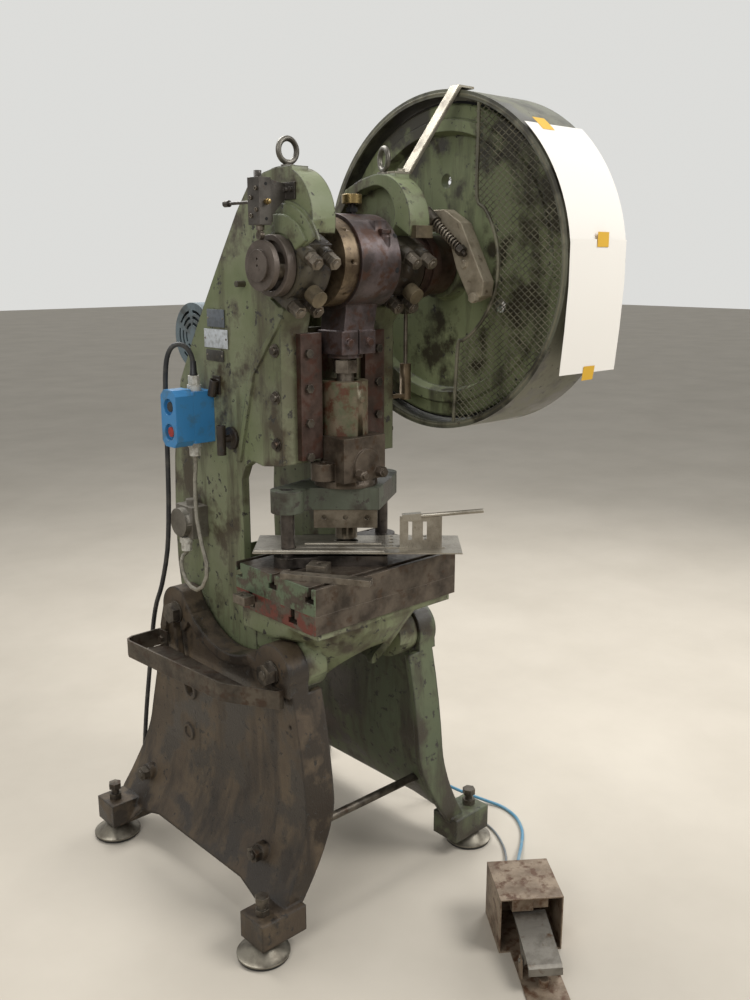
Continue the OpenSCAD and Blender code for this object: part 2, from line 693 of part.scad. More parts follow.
module crank_bushes() {
    color(bronze) place() mirrored() difference() {
        bar_x(bearing_in - 2, bearing_out + 1, crank_y, crank_z, housing_bore, 64);
        bar_x(bearing_in - 5, bearing_out + 5, crank_y, crank_z, journal_r + run_gap, 64);
    }
}

// A grease cup on each cap and a drip oiler box on the right dome
module lubricators() {
    color(bronze) place() {
        mirrored() at_cap() translate([(stud_x1 + stud_x2)/2, 0, -18]) rotate([90, 0, 0]) {
            translate([0, 0, housing_bore + 2]) cylinder(h = cap_t - housing_bore + 22, r = 6, $fn = 24);
            translate([0, 0, cap_t + 14]) cylinder(h = 30, r = 19, $fn = 48);
        }
        difference() {
            translate([116, dome_y - dome_r - 12, dome_z - 34]) cube([52, 24, 27]);
            bar_x(115, 169, dome_y, dome_z, dome_r, 96);
        }
    }
}

// Clamp bolts that ride with the frame in the legs' arc slots
module clamp_bolts() {
    color(steel_worn) place() mirrored() {
        bar_x(frame_x - cheek_wall - 18, nut_face + 24, clamp_y, clamp_z, pivot_d/2);
        bar_x(nut_face + face_gap, nut_face + face_gap + 4, clamp_y, clamp_z, pivot_d*0.95);
        hex_x(nut_face + face_gap + 4, nut_face + 25, clamp_y, clamp_z, pivot_d*1.55);
    }
}

// Front gib plates that hold the ram in, and the wear strips beside it
module gibs() {
    color("#5a443b") place() mirrored() {
        translate([gib_in, jamb_y - gib_t, throat_top + 2]) cube([126 - gib_in, gib_t, way_top - throat_top - 8]);
        translate([jamb_in - strip_t, jamb_y + 0.2, throat_top + 2])
            cube([strip_t, jamb_back - jamb_y - 0.4, way_top - throat_top - 8]);
    }
}

gib_bolt_z = [for (i = [0:3]) way_top - 50 - 78*i];
adjuster_z = [way_top - 42, way_top - 146, way_top - 252];
module gib_screws() {
    color(steel_worn) place() mirrored() {
        for (z = gib_bolt_z) bar_y(jamb_y - gib_t - 8, jamb_y - gib_t, 105, z, 10.5, 6);
        for (z = adjuster_z) {
            bar_x(frame_x, frame_x + 3, jamb_y + 18, z, 15, 32);
            bar_x(frame_x + 3, frame_x + 11, jamb_y + 18, z, 9, 32);
        }
    }
}

// A plate with three T-slots along X
module slotted_plate(z, t, rows) {
    difference() {
        translate([-table_w/2, table_front, z]) cube([table_w, table_d, t]);
        for (y = rows) {
            translate([-table_w/2 - 1, y - slot_neck/2, z + t - 32]) cube([table_w + 2, slot_neck, 40]);
            translate([-table_w/2 - 1, y - slot_neck, z + t - 34]) cube([table_w + 2, 2*slot_neck, 13]);
        }
    }
}
module bolster_upper() {
    color(steel_worn) place() difference() {
        slotted_plate(lower_z + lower_t, upper_t, [for (i = [-1:1]) crank_y + i*slot_pitch]);
        bar_z(0, crank_y + 20, lower_z, table_z + 1, 60, 64);
    }
}
low_slot_y = crank_y + 86;
module bolster_lower() {
    color("#7a3f36") place() difference() {
        slotted_plate(lower_z, lower_t, [crank_y - 72, low_slot_y]);
        bar_z(0, crank_y + 20, lower_z - 1, lower_z + lower_t + 1, 70, 64);
    }
}

// Clamp bars and blocks that hold the die down
module clamp_blocks() {
    color(steel_worn) place() {
        translate([-228, -276, table_z]) rotate([0, 0, -58]) cube([208, 24, 14]);
        translate([-171, -298, table_z]) rotate([0, 0, -58]) difference() {
            cube([46, 42, 25]);
            bar_z(23, 21, -1, 26, 7, 24);
        }
        translate([-table_w/2 - 34, low_slot_y - 22, lower_z + 22]) difference() {
            cube([30, 44, 20]);
            bar_z(13, 22, -1, 21, 6, 24);
        }
        translate([-table_w/2 - 34, low_slot_y - 7, lower_z + 22]) cube([50, 14, 11]);
        translate([-table_w/2 + 1, low_slot_y - 7, lower_z + lower_t - 34]) cube([15, 14, 23]);
    }
}

// Lifting eyes, one screwed into the top of each dome
eye_x = (dome_in + frame_x)/2;
eye_y = dome_y + 10;
module eye_bolts() {
    color(steel_worn) place() for (x = [-eye_x, eye_x]) translate([x, eye_y, dome_z + dome_r]) {
        translate([0, 0, -14]) cylinder(h = 20, r = 8, $fn = 32);
        translate([0, 0, face_gap]) cylinder(h = 5, r = 15, $fn = 48);
        translate([0, 0, 34]) rotate([90, 0, x < 0 ? 0 : 70]) rotate_extrude($fn = 48) translate([24, 0]) circle(r = 6, $fn = 24);
    }
}

// Round sheet band over the flywheel, with flanges on both edges and a window for the belt
flange_w = 16;
belt_window = 250;
belt_y = motor_y - crank_y;
belt_z = motor_z - crank_z;
belt_run = norm([belt_y, belt_z]);
belt_turn = atan2(belt_z, belt_y);
module guard_band() {
    color(iron_dark) place() difference() {
        translate([guard_x, crank_y, crank_z]) rotate([0, 90, 0]) rotate_extrude($fn = 128) polygon([
            [guard_r - flange_w, 0], [guard_r, 0], [guard_r, guard_w], [guard_r - flange_w, guard_w],
            [guard_r - flange_w, guard_w - guard_t], [guard_r - guard_t, guard_w - guard_t],
            [guard_r - guard_t, guard_t], [guard_r - flange_w, guard_t]]);
        translate([pulley_x - 12, crank_y, crank_z]) rotate([belt_turn, 0, 0])
            translate([0, 150, -belt_window]) cube([pulley_w + 24, guard_r, 2*belt_window]);
    }
}

// Screens in the guard: a crescent beside the clutch on the near face, a full disc on the far face
screen_r = guard_r - guard_t - face_gap;
lattice_t = 3;
module lattice(pitch, w) {
    for (a = [45, -45]) rotate(a) for (i = [-14:14]) translate([i*pitch - w/2, -screen_r]) square([w, 2*screen_r]);
}
module crescent(edge) {
    difference() {
        translate([-screen_r, -screen_r]) square([screen_r - 50, 2*screen_r]);
        circle(r = 200 + edge, $fn = 96);
        translate([-130 - edge, 0]) square([200, 2*screen_r]);
        polygon([[-80 - edge, -120], [-80 - edge, -186], [-56 - edge, -2*screen_r], [200, -2*screen_r], [200, -120]]);
    }
}
module crescent_window() {
    intersection() {
        circle(r = screen_r - 12, $fn = 96);
        crescent(12);
    }
}
module crescent_plate() {
    intersection() {
        circle(r = screen_r, $fn = 96);
        crescent(0);
    }
}
module guard_mesh() {
    color(iron_dark) place() translate([0, crank_y, crank_z]) {
        along_x(guard_x + guard_t, guard_x + guard_t + lattice_t) union() {
            difference() {
                crescent_plate();
                crescent_window();
            }
            intersection() {
                crescent_plate();
                lattice(52, 7);
            }
        }
        along_x(guard_out - guard_t - lattice_t, guard_out - guard_t) intersection() {
            circle(r = screen_r, $fn = 96);
            union() {
                lattice(68, 8);
                difference() {
                    circle(r = screen_r, $fn = 96);
                    circle(r = screen_r - 20, $fn = 96);
                }
            }
        }
    }
}

// Flat bar from the right dome up and forward to the top of the guard
stay_y = dome_y - 28;
stay_z = dome_z + dome_r;
stay_lean = 48;
stay_top = crank_z + sqrt(pow(guard_r, 2) - pow(stay_y + 14 - stay_lean - crank_y, 2)) + face_gap;
module guard_stay() {
    color(steel_worn) place() translate([0, stay_y, 0]) {
        translate([frame_x - 44, -14, stay_z]) cube([50, 28, 5]);
        hull() {
            translate([frame_x - 2, -14, stay_z + 1]) cube([8, 28, 4]);
            translate([guard_x - 8 - face_gap, -14 - stay_lean, stay_top]) cube([8, 28, 5]);
        }
        translate([guard_x - 8 - face_gap, -14 - stay_lean, stay_top]) cube([50, 28, 5]);
        bar_z(frame_x - 12, 0, stay_z + 5, stay_z + 12, 9, 6);
    }
}

// Motor with cooling ribs, on a plate at the back of the frame
motor_len = 250;
module motor_body() {
    color("#5e7078") place() {
        bar_x(motor_x + 50, motor_x + 50 + motor_len, motor_y, motor_z, motor_r - 8, 64);
        bar_x(motor_x + 52, motor_x + 60, motor_y, motor_z, motor_r + 5, 64);
        for (a = [0:15:359]) translate([motor_x + 60, motor_y, motor_z]) rotate([a, 0, 0])
            translate([0, -1.5, motor_r - 10]) cube([motor_len - 30, 3, 10]);
        bar_x(motor_x + 50 + motor_len, motor_x + 64 + motor_len, motor_y, motor_z, 30, 48);
        translate([motor_x + 90, motor_y - 112, motor_z - motor_r - 10]) cube([170, 182, 8]);
        for (y = [-50, 34]) translate([motor_x + 100, motor_y + y, motor_z - motor_r - 3]) cube([150, 16, 40]);
        translate([motor_x + 110, motor_y - 50, motor_z + motor_r - 14]) cube([80, 70, 44]);
        for (x = [motor_x + 90, motor_x + 244]) along_x(x, x + 16) polygon([[158, motor_z - motor_r - 10],
            [motor_y + 60, motor_z - motor_r - 10], [212, 1190], [191, 1210]]);
    }
}

module motor_cowl() {
    color("#66757d") place() difference() {
        bar_x(motor_x, motor_x + 62, motor_y, motor_z, motor_r + 8, 64);
        bar_x(motor_x + 3, motor_x + 63, motor_y, motor_z, motor_r + 5, 64);
        for (k = [0:5]) translate([motor_x - 1, motor_y, motor_z]) rotate([60*k, 0, 0]) for (r = [28, 44, 60])
            rotate([0, 90, 0]) rotate_extrude(angle = 46, $fn = 64) translate([r, 0]) square([7, 5]);
    }
}

// Starter with two push buttons on its left face, and the cable glands
box_x = -277;
box_y = 80;
box_w = 66;
box_z = 1118;
box_h = 136;
button_z = [box_z + 36, box_z + 96];
module starter_box() {
    color("#3f7fb5") place() difference() {
        union() {
            translate([box_x + 50, box_y - box_w/2, box_z + 6]) cube([-frame_x - box_x - 50, box_w, box_h - 12]);
            along_x(box_x, box_x + 49.7) polygon([[box_y - box_w/2, box_z + 14], [box_y - box_w/2 + 14, box_z],
                [box_y + box_w/2 - 14, box_z], [box_y + box_w/2, box_z + 14], [box_y + box_w/2, box_z + box_h - 14],
                [box_y + box_w/2 - 14, box_z + box_h], [box_y - box_w/2 + 14, box_z + box_h],
                [box_y - box_w/2, box_z + box_h - 14]]);
            translate([box_x + 49, box_y - box_w/2 + 6, box_z + 12]) cube([2, box_w - 12, box_h - 24]);
        }
        for (z = button_z) {
            bar_x(box_x - 1, box_x + 10, box_y, z, 20);
            bar_x(box_x - 1, box_x + 34, box_y, z, 12 + run_gap);
        }
    }
}
module button(z) {
    place() bar_x(box_x + 4, box_x + 28, box_y, z, 12);
}
module stop_button() {
    color("#7a2b26") button(button_z[0]);
}
module start_button() {
    color("#2c3336") button(button_z[1]);
}

gland_x = -206;
gland_top = box_z + box_h + 36;
module gland(x, y, z, up) {
    translate([x, y, z]) mirror([0, 0, up ? 0 : 1]) {
        cylinder(h = 14, r = 17, $fn = 32);
        translate([0, 0, 13]) cylinder(h = 23, r = 14, $fn = 8);
    }
}
module cable_glands() {
    color("#dcd8cc") place() {
        gland(gland_x, box_y - 4, box_z + box_h - 6, true);
        gland(gland_x, box_y + 4, box_z + 6, false);
        gland(switch_x, switch_y, switch_z - 40, false);
    }
}

// Cast switch box with a round lid, lower down on the left cheek
switch_x = -212;
switch_y = 132;
switch_z = 914;
module switch_box() {
    color("#8b8478") place() {
        translate([-frame_x - 46, switch_y - 38, switch_z - 40]) cube([46, 76, 80]);
        bar_x(-frame_x - 64, -frame_x - 46, switch_y, switch_z, 36, 48);
        bar_z(-frame_x - 22, switch_y, switch_z + 38, switch_z + 54, 15, 32);
    }
}

conduit_r = 5;
conduit_route = [[gland_x, 84, 1087.6], [gland_x, 84, 1062], [-212, 80, 1030], [-220, 70, 985], [-232, 48, 940],
    [-243, 14, 885], [-249, -14, 845], [-253, -18, 812], [-254, 0, 782], [-252, 30, 766], [-249, 60, 766],
    [-247, 84, 776], [-244, 104, 794], [-238, 120, 814], [-226, 130, 826], [switch_x - 2, 132, 832],
    [switch_x, 132, 836.8]];
module conduit() {
    color("#b5ac9c") place() tube(conduit_route, conduit_r);
}

// Upright lamp socket on a screwed flange, a pipe stub on a bracket and a short tube stub
module side_sockets() {
    color(iron_dark) place() {
        bar_x(-frame_x - 8, -frame_x, -26, 1141, 27, 48);
        bar_x(-frame_x - 24, -frame_x - 7, -26, 1141, 9, 32);
        difference() {
            bar_z(-frame_x - 32, -26, 1104, 1174, 11, 32);
            bar_z(-frame_x - 32, -26, 1120, 1175, 8, 32);
        }
        translate([-frame_x - 3, 16, 1240]) cube([3, 30, 44]);
        difference() {
            translate([-frame_x - 14, 34, 1238]) rotate([18, 0, 0]) cylinder(h = 40, r = 11, $fn = 32);
            translate([-frame_x - 14, 34, 1238]) rotate([18, 0, 0]) translate([0, 0, 10]) cylinder(h = 31, r = 8, $fn = 32);
        }
        bar_x(-frame_x - 22, -frame_x, -92, 1500, 7, 24);
    }
}

// Cam valve over the end disc, on an angle bracket screwed to the left dome
valve_x = -230;
valve_y = crank_y;
module cam_valve() {
    color(steel_worn) place() {
        difference() {
            translate([valve_x - 15, valve_y - 20, 1622]) cube([30, 40, 94]);
            bar_z(valve_x, valve_y, 1621, 1700, 9 + run_gap, 32);
        }
        bar_z(valve_x, valve_y + 4, 1716, 1730, 8, 32);
        bar_y(valve_y + 20, valve_y + 104, valve_x - 6, 1668, 3.5, 24);
        bar_y(valve_y + 100, valve_y + 116, valve_x - 6, 1668, 7, 32);
        translate([valve_x + 15, valve_y - 18, 1628]) cube([5, 36, 84]);
        along_y(valve_y - 16, valve_y - 11) polygon([[valve_x + 18, 1640], [valve_x + 18, 1712], [-frame_x, 1704],
            [-frame_x, 1680]]);
        translate([-frame_x - 4, valve_y - 46, 1674]) cube([4, 44, 34]);
        for (y = [-36, -18]) bar_x(-frame_x - 10, -frame_x - 4, valve_y + y, 1694, 5, 24);
    }
}
plunger_gap = 0.4;
module valve_plunger() {
    color(steel_worn) place() {
        bar_z(valve_x, valve_y, 1612, 1690, 9, 32);
        bar_z(valve_x, valve_y, crank_z + disc_r + 14, 1613, 6, 32);
        translate([valve_x, valve_y, crank_z + disc_r + plunger_gap + 9]) rotate([0, 90, 0])
            translate([0, 0, -5]) cylinder(h = 10, r = 9, $fn = 48);
    }
}

// Air cylinder beside the right cheek, which pulls the latch through the trip rod
trip_x = 226;
trip_y = -206;
module trip_cylinder() {
    color(bronze) place() {
        difference() {
            bar_z(trip_x, trip_y, 1216, 1304, 14);
            bar_z(trip_x, trip_y, 1240, 1305, 5 + run_gap, 32);
        }
        translate([frame_x, trip_y - 10, 1222]) cube([trip_x - frame_x - 8, 20, 8]);
    }
}
module trip_rod() {
    color(steel_worn) place() {
        bar_z(trip_x, trip_y, 1262, 1440, 5, 32);
        translate([trip_x - 9, trip_y - 9, 1424]) cube([18, 18, 30]);
    }
}

belt_t = 6;
belt_w = 52;
module drive_belt() {
    color("#262422") place() translate([pulley_x + 4, crank_y, crank_z]) rotate([90, 0, 90]) linear_extrude(belt_w) difference() {
        hull() {
            circle(r = wheel_r + face_gap + belt_t, $fn = 96);
            translate([belt_y, belt_z]) circle(r = pulley_r + face_gap + belt_t, $fn = 48);
        }
        hull() {
            circle(r = wheel_r + face_gap, $fn = 96);
            translate([belt_y, belt_z]) circle(r = pulley_r + face_gap, $fn = 48);
        }
    }
}

// Lower shoe with its two pillars and the round die on it
die_z = table_z + 34;
die_bore = 28;
pillar_a = atan2(37, 150);
module at_die() {
    translate([0, crank_y, 0]) rotate([0, 0, die_angle]) children();
}
module at_pillars() {
    for (side = [0, 180]) rotate([0, 0, side - die_angle + (side == 0 ? pillar_a : -pillar_a)])
        translate([pillar_span/2, 0, 0]) children();
}
module lower_die() {
    color("#3c3835") place() at_die() {
        difference() {
            union() {
                translate([-112, -84, table_z]) cube([210, 188, 24]);
                at_pillars() translate([-40, 0, table_z]) cylinder(h = 24, r = 46, $fn = 64);
                at_pillars() translate([0, 0, table_z]) cylinder(h = 24, r = 34, $fn = 64);
                translate([0, 0, table_z + 23]) cylinder(h = die_z - table_z - 23, r = 78, $fn = 64);
            }
            translate([0, 0, table_z - 1]) cylinder(h = 60, r = die_bore, $fn = 64);
        }
        at_pillars() translate([0, 0, table_z + 20]) cylinder(h = shoe_top - table_z - 22, r = pillar_d/2, $fn = 48);
    }
}

// Thin stock plate, guide strips and a perforated plate, turned on the die
module stock_guide() {
    color("#8c8479") place() at_die() translate([0, 0, die_z]) {
        difference() {
            union() {
                translate([-213, -100, 0]) cube([483, 150, 3]);
                translate([-210, -98, 3]) cube([300, 22, 5]);
                translate([-130, -72, 3]) cube([220, 20, 7]);
                translate([-96, -50, 3]) cube([180, 16, 9]);
            }
            translate([0, 0, -1]) cylinder(h = 5, r = die_bore, $fn = 48);
            at_pillars() translate([0, 0, -1]) cylinder(h = 14, r = pillar_d/2 + 3, $fn = 48);
        }
        difference() {
            translate([92, -60, 3]) cube([140, 108, 2]);
            for (i = [0:4], j = [0:3]) translate([106 + 27*i, -46 + 27*j, 2]) cylinder(h = 4, r = 6, $fn = 24);
        }
    }
    color("#7e93a8") place() stop_bracket();
}

// Upright slotted plate with the stop rod on it
module stop_bracket() {
    at_die() translate([0, 0, die_z + 5]) {
        difference() {
            translate([126, -60, 0]) cube([98, 3, 74]);
            for (x = [146, 180]) translate([x, -62, 18]) cube([9, 7, 44]);
        }
        translate([126, -60, 0]) cube([98, 20, 2]);
        translate([136, -66, 66]) rotate([0, -5, 0]) {
            bar_x(0, 184, 0, 8, 5, 24);
            translate([-4, -10, 0]) cube([44, 17.5, 16]);
        }
    }
}

// Crankshaft with its small fixed eccentric
module crankshaft() {
    color(steel_bright) place() {
        bar_x(-228, wheel_out + 60, crank_y, crank_z, journal_r - 8);
        bar_x(-bearing_out - 3, bearing_out + 3, crank_y, crank_z, journal_r, 64);
        bar_x(ring_in, rod_out, crank_y, crank_z + crank_throw, eccentric_r, 64);
    }
}

// Stepped end disc that works the cam valve
module end_disc() {
    color(steel_worn) place() difference() {
        union() {
            bar_x(-234, -221, crank_y, crank_z, disc_r, 64);
            bar_x(-241, -233, crank_y, crank_z, disc_r*0.64, 64);
        }
        for (z = [0, 14]) bar_x(-242, -230, crank_y, crank_z + z, 3, 24);
        bar_x(-229, -220, crank_y, crank_z, journal_r - 8, 48);
    }
}

// Bronze ring between crank and rod, which sets the stroke
module eccentric_ring() {
    color(bronze) place() difference() {
        union() {
            bar_x(ring_in, rod_in - face_gap, crank_y, crank_z + throw, ring_r, 96);
            bar_x(rod_in - 1, rod_out - 6, crank_y, crank_z + throw, sleeve_r, 96);
        }
        bar_x(ring_in - 1, rod_out + 1, crank_y, crank_z + crank_throw, eccentric_r, 64);
        for (a = [0:45:359]) translate([(ring_in + rod_in)/2, crank_y, crank_z + throw]) rotate([a, 0, 0])
            translate([0, 0, ring_r - 14]) cylinder(h = 20, r = 5, $fn = 24);
    }
}

module clutch_collar() {
    color("#6b4a38") place() difference() {
        union() {
            bar_x(bearing_out + 6, wheel_x - 16, crank_y, crank_z, housing_r - 2, 64);
            bar_x(bearing_out + 26, bearing_out + 50, crank_y, crank_z, housing_r + 6, 64);
        }
        bar_x(bearing_out, wheel_x, crank_y, crank_z, journal_r - 8, 48);
    }
}

// Connecting rod: split big end, tapered shank and a clamped foot for the ball screw
rod_clamp_z = crank_z - 194;
module connecting_rod() {
    color("#80757a") place() {
        difference() {
            union() {
                bar_x(rod_in, rod_out, crank_y, crank_z + throw, big_end_r, 96);
                along_y(crank_y - 46, crank_y + 36) polygon([[rod_in + 2, crank_z], [rod_out - 2, crank_z],
                    [44, rod_clamp_z + 40], [44, rod_clamp_z], [-44, rod_clamp_z], [-44, rod_clamp_z + 40],
                    [rod_in + 2, crank_z + throw - ring_r - 8]]);
                translate([-50, crank_y - 48, rod_clamp_z]) cube([100, 84, 52]);
                bar_z(0, crank_y, rod_clamp_z - 10, rod_clamp_z, 40);
                translate([20, crank_y - 80, crank_z + 62]) cube([34, 30, 34]);
            }
            bar_x(rod_in - 1, rod_out + 1, crank_y, crank_z + throw, sleeve_r + run_gap, 96);
            bar_z(0, crank_y, rod_clamp_z - 20, rod_clamp_z + 60, screw_r);
            translate([-2, crank_y - 60, rod_clamp_z - 1]) cube([4, 60, 54]);
        }
        for (x = [-30, 30]) bar_y(crank_y - 56, crank_y - 48, x, rod_clamp_z + 26, 9, 24);
        bar_z(28, crank_y + 6, crank_z + throw + big_end_r - 2, crank_z + throw + big_end_r + 22, 8, 32);
        bar_z(28, crank_y + 6, crank_z + throw + big_end_r + 22, crank_z + throw + big_end_r + 42, 22);
    }
}

ball_z = pot_top - 69;
ball_r = 24;
screw_r = 20;
// Adjusting screw with its hexagon and the ball in the ram's pot
module rod_screw() {
    color(steel_bright) place() {
        bar_z(0, crank_y, ball_z, rod_clamp_z + 58, screw_r);
        bar_z(0, crank_y, pot_top + 2*throw + 1, pot_top + 2*throw + 31, 29, 6);
        translate([0, crank_y, ball_z]) sphere(r = ball_r, $fn = 48);
    }
}

// Ram: a slide between the gibs, the round pot for the ball screw and the head for the shank
module ram_slide() {
    color("#7b5a44") place() difference() {
        union() {
            translate([-slide_x, jamb_y + 0.3, shank_top - 50]) cube([2*slide_x, jamb_back - jamb_y - 0.6, way_top - shank_top + 30]);
            bar_z(0, crank_y, shank_top - 6, pot_top, pot_r, 64);
            translate([-pot_r, crank_y, shank_top - 50]) cube([2*pot_r, 50, pot_top - shank_top + 50]);
            bar_y(crank_y - pot_r - 8, crank_y, 0, pot_top - 40, 7, 32);
        }
        translate([-pot_r - 1, crank_y - 60, pot_top]) cube([2*pot_r + 2, 112, 200]);
        bar_z(0, crank_y, shank_top - 61, shank_top + 0.4, shank_r + 0.4, 48);
        bar_z(0, crank_y, pot_top - 30, pot_top + 1, screw_r + ram_gap);
        bar_z(0, crank_y, ball_z - ball_r - 2*throw - 2, pot_top - 27, ball_r + ram_gap, 64);
        translate([-shank_w/2 - 0.2, crank_y - 100, shank_top - 60]) cube([shank_w + 0.4, 100 + shank_back + 0.2, 60]);
    }
}

shank_w = 126;
shank_r = 20;
shank_back = 18;
// Block that clamps the die's shank, with its half-round cap, a side lug and a round foot
module shank_clamp() {
    color(steel_worn) place() {
        difference() {
            union() {
                translate([-shank_w/2, crank_y - 67, shank_top - shank_h]) cube([shank_w, 67 + shank_back, shank_h]);
                bar_z(-shank_w/2 - 12, crank_y - 8, shank_top - shank_h + 4, shank_top - shank_h + 44, 29);
                bar_z(0, crank_y, shank_top - shank_h - 16, shank_top - shank_h, 74, 64);
            }
            bar_z(0, crank_y, shank_top - shank_h - 17, shank_top - 40, shank_r, 48);
            bar_z(-shank_w/2 - 12, crank_y - 8, shank_top - shank_h, shank_top - 30, 9, 32);
        }
        bar_y(crank_y - 73, crank_y - 67, 4, shank_top - 66, 38, 64);
        for (x = [-24, 36]) {
            bar_y(crank_y - 93, crank_y - 73, x, shank_top - 84, 13, 6);
            bar_y(crank_y - 99, crank_y - 93, x, shank_top - 84, 7, 24);
        }
    }
}

// Upper shoe on its shank, guided by the two pillars
module upper_shoe() {
    color(iron_green) place() difference() {
        union() {
            at_die() {
                at_pillars() translate([0, 0, shoe_top - shoe_h]) cylinder(h = shoe_h, r = shoe_boss_r, $fn = 64);
                translate([0, 0, shoe_top - shoe_h]) linear_extrude(shoe_h)
                    polygon([[-80, -58], [78, -58], [118, 110], [96, 164], [40, 112], [-80, 66],
                        [-162, -54], [-130, -106]]);
            }
            bar_z(0, crank_y, shoe_top - 1, shank_top - 44, shank_r - 0.1, 48);
        }
        at_die() at_pillars() translate([0, 0, shoe_top - shoe_h - 1])
            cylinder(h = shoe_h + 2, r = pillar_d/2 + run_gap, $fn = 48);
    }
}

module punch_block() {
    color(steel_worn) place() difference() {
        union() {
            at_die() translate([-74, -50, shoe_top - shoe_h - 45]) cube([148, 100, 45]);
            bar_z(0, crank_y, die_z + 14, shoe_top - shoe_h - 44, die_bore - 2, 48);
        }
        at_die() for (x = [-50, 0, 50]) bar_y(-51, -42, x, shoe_top - shoe_h - 20, 6, 24);
    }
}

// Flywheel: heavy rim, stepped web and a long hub
module flywheel() {
    color("#6d7a55") place() translate([0, crank_y, crank_z]) difference() {
        translate([wheel_x, 0, 0]) rotate([0, 90, 0]) rotate_extrude($fn = 96) polygon([
            [journal_r - 8 + run_gap, -10], [78, -10], [86, 26], [300, 26], [308, 0], [334, 0], [338, 8],
            [wheel_r - 4, 8], [wheel_r, 12], [wheel_r, wheel_w], [310, wheel_w], [300, 50], [84, 50],
            [70, wheel_w + 30], [journal_r - 8 + run_gap, wheel_w + 30]]);
        for (a = [0:120:359]) rotate([a - 2, 0, 0]) bar_x(wheel_x + 10, wheel_x + 70, 0, 197, 16, 32);
    }
}

module motor_pulley() {
    color("#4a4a48") place() {
        bar_x(motor_x + 66 + motor_len, pulley_x + pulley_w + 6, motor_y, motor_z, 14, 32);
        bar_x(pulley_x, pulley_x + pulley_w, motor_y, motor_z, pulley_r, 64);
        for (x = [pulley_x - 4, pulley_x + pulley_w]) bar_x(x, x + 4, motor_y, motor_z, pulley_r + 3, 64);
    }
}

// Cast latch arm in front of the clutch collar, hung from the right dome and pulled by a spring
latch_x = 258;
latch_y = crank_y - 14;
latch_z = crank_z + 104;
latch_low = latch_x - 18;
latch_high = latch_x + 18;
module clutch_latch() {
    color("#8e8776") place() difference() {
        union() {
            bar_x(latch_low, latch_high, latch_y, latch_z, 24);
            along_x(latch_low, latch_high) polygon([[latch_y + 8, latch_z + 20], [latch_y - 60, latch_z + 22],
                [latch_y - 116, latch_z - 10], [latch_y - 188, latch_z - 140], [latch_y - 184, latch_z - 172],
                [latch_y - 150, latch_z - 186], [latch_y - 104, latch_z - 110], [latch_y - 78, latch_z - 40],
                [latch_y - 10, latch_z - 22]]);
            bar_x(latch_low - 12, latch_low + 2, latch_y - 164, latch_z - 176, 12, 6);
            bar_x(latch_low - 5, latch_low + 2, latch_y - 128, latch_z - 102, 10, 6);
        }
        bar_x(latch_low - 1, latch_high + 1, latch_y, latch_z, 12 + run_gap, 32);
    }
}
spring_turn = 128;
module at_spring() {
    translate([latch_x - 38, latch_y - 31, latch_z + 11]) rotate([spring_turn, 0, 0]) children();
}
module latch_spring() {
    color(steel_bright) place() at_spring() difference() {
        union() {
            for (i = [0:10]) translate([0, 0, 30 + 9*i]) cylinder(h = 6, r = 12, $fn = 32);
            translate([0, 0, 30]) cylinder(h = 96, r = 9, $fn = 32);
        }
        translate([0, 0, 29]) cylinder(h = 98, r = 7, $fn = 32);
    }
}
// Pivot of the latch and the threaded rod of its spring, fixed to the right cheek
module latch_pivot() {
    color(steel_worn) place() {
        bar_x(frame_x, latch_high + 4, latch_y, latch_z, 12, 32);
        bar_x(frame_x, latch_x - 28, latch_y - 31, latch_z + 11, 11, 32);
        at_spring() {
            translate([0, 0, -10]) cylinder(h = 40, r = 15, $fn = 32);
            cylinder(h = 150, r = 6, $fn = 32);
            translate([0, 0, 126]) cylinder(h = 14, r = 13, $fn = 6);
        }
    }
}

supply_r = 6;
supply_route = [[gland_x, 76, gland_top - 5.6], [gland_x, 76, 1302], [-212, 78, 1322], [-224, 86, 1338],
    [-238, 98, 1338], [-248, 110, 1322], [-252, 118, 1290], [-254, 124, 1240], [-254, 130, 1160],
    [-253, 136, 1060], [-252, 144, 950], [-252, 160, 840], [-252, 196, 740], [-250, 232, 680], [-246, 260, 620],
    [-240, 290, 540], [-236, 320, 440], [-232, 350, 340], [-228, 376, 240], [-224, 396, 150], [-214, 410, 70],
    [-194, 420, 24], [-164, 426, 8], [-130, 427, 6], [-104, 420, 6], [-90, 410, 6], [-81, 401, 6]];
module supply_cable() {
    color("#202022") place() tube(supply_route, supply_r);
}
coil_x = -20;
coil_y = 340;
module cable_coil() {
    color("#202022") place() translate([coil_x, coil_y, 0]) rotate_extrude($fn = 48) translate([58, 0]) square([28, 44]);
}

left_leg();
right_leg();
tie_rods();
levelling_mounts();
mount_pads();
levelling_bolts();
pivot_bolts();
tool_tray();
pedal_guard();
treadle();
pedal_hose();
pedal_cable();
frame_casting();
bearing_caps();
cap_studs();
crank_bushes();
lubricators();
clamp_bolts();
gibs();
gib_screws();
bolster_upper();
bolster_lower();
clamp_blocks();
eye_bolts();
guard_band();
guard_mesh();
guard_stay();
motor_body();
motor_cowl();
starter_box();
cable_glands();
switch_box();
conduit();
side_sockets();
cam_valve();
valve_plunger();
trip_cylinder();
drive_belt();
lower_die();
stock_guide();
crankshaft();
end_disc();
eccentric_ring();
clutch_collar();
connecting_rod();
rod_screw();
ram_slide();
shank_clamp();
upper_shoe();
punch_block();
flywheel();
motor_pulley();
clutch_latch();
latch_pivot();
latch_spring();
trip_rod();
stop_button();
start_button();
supply_cable();
cable_coil();
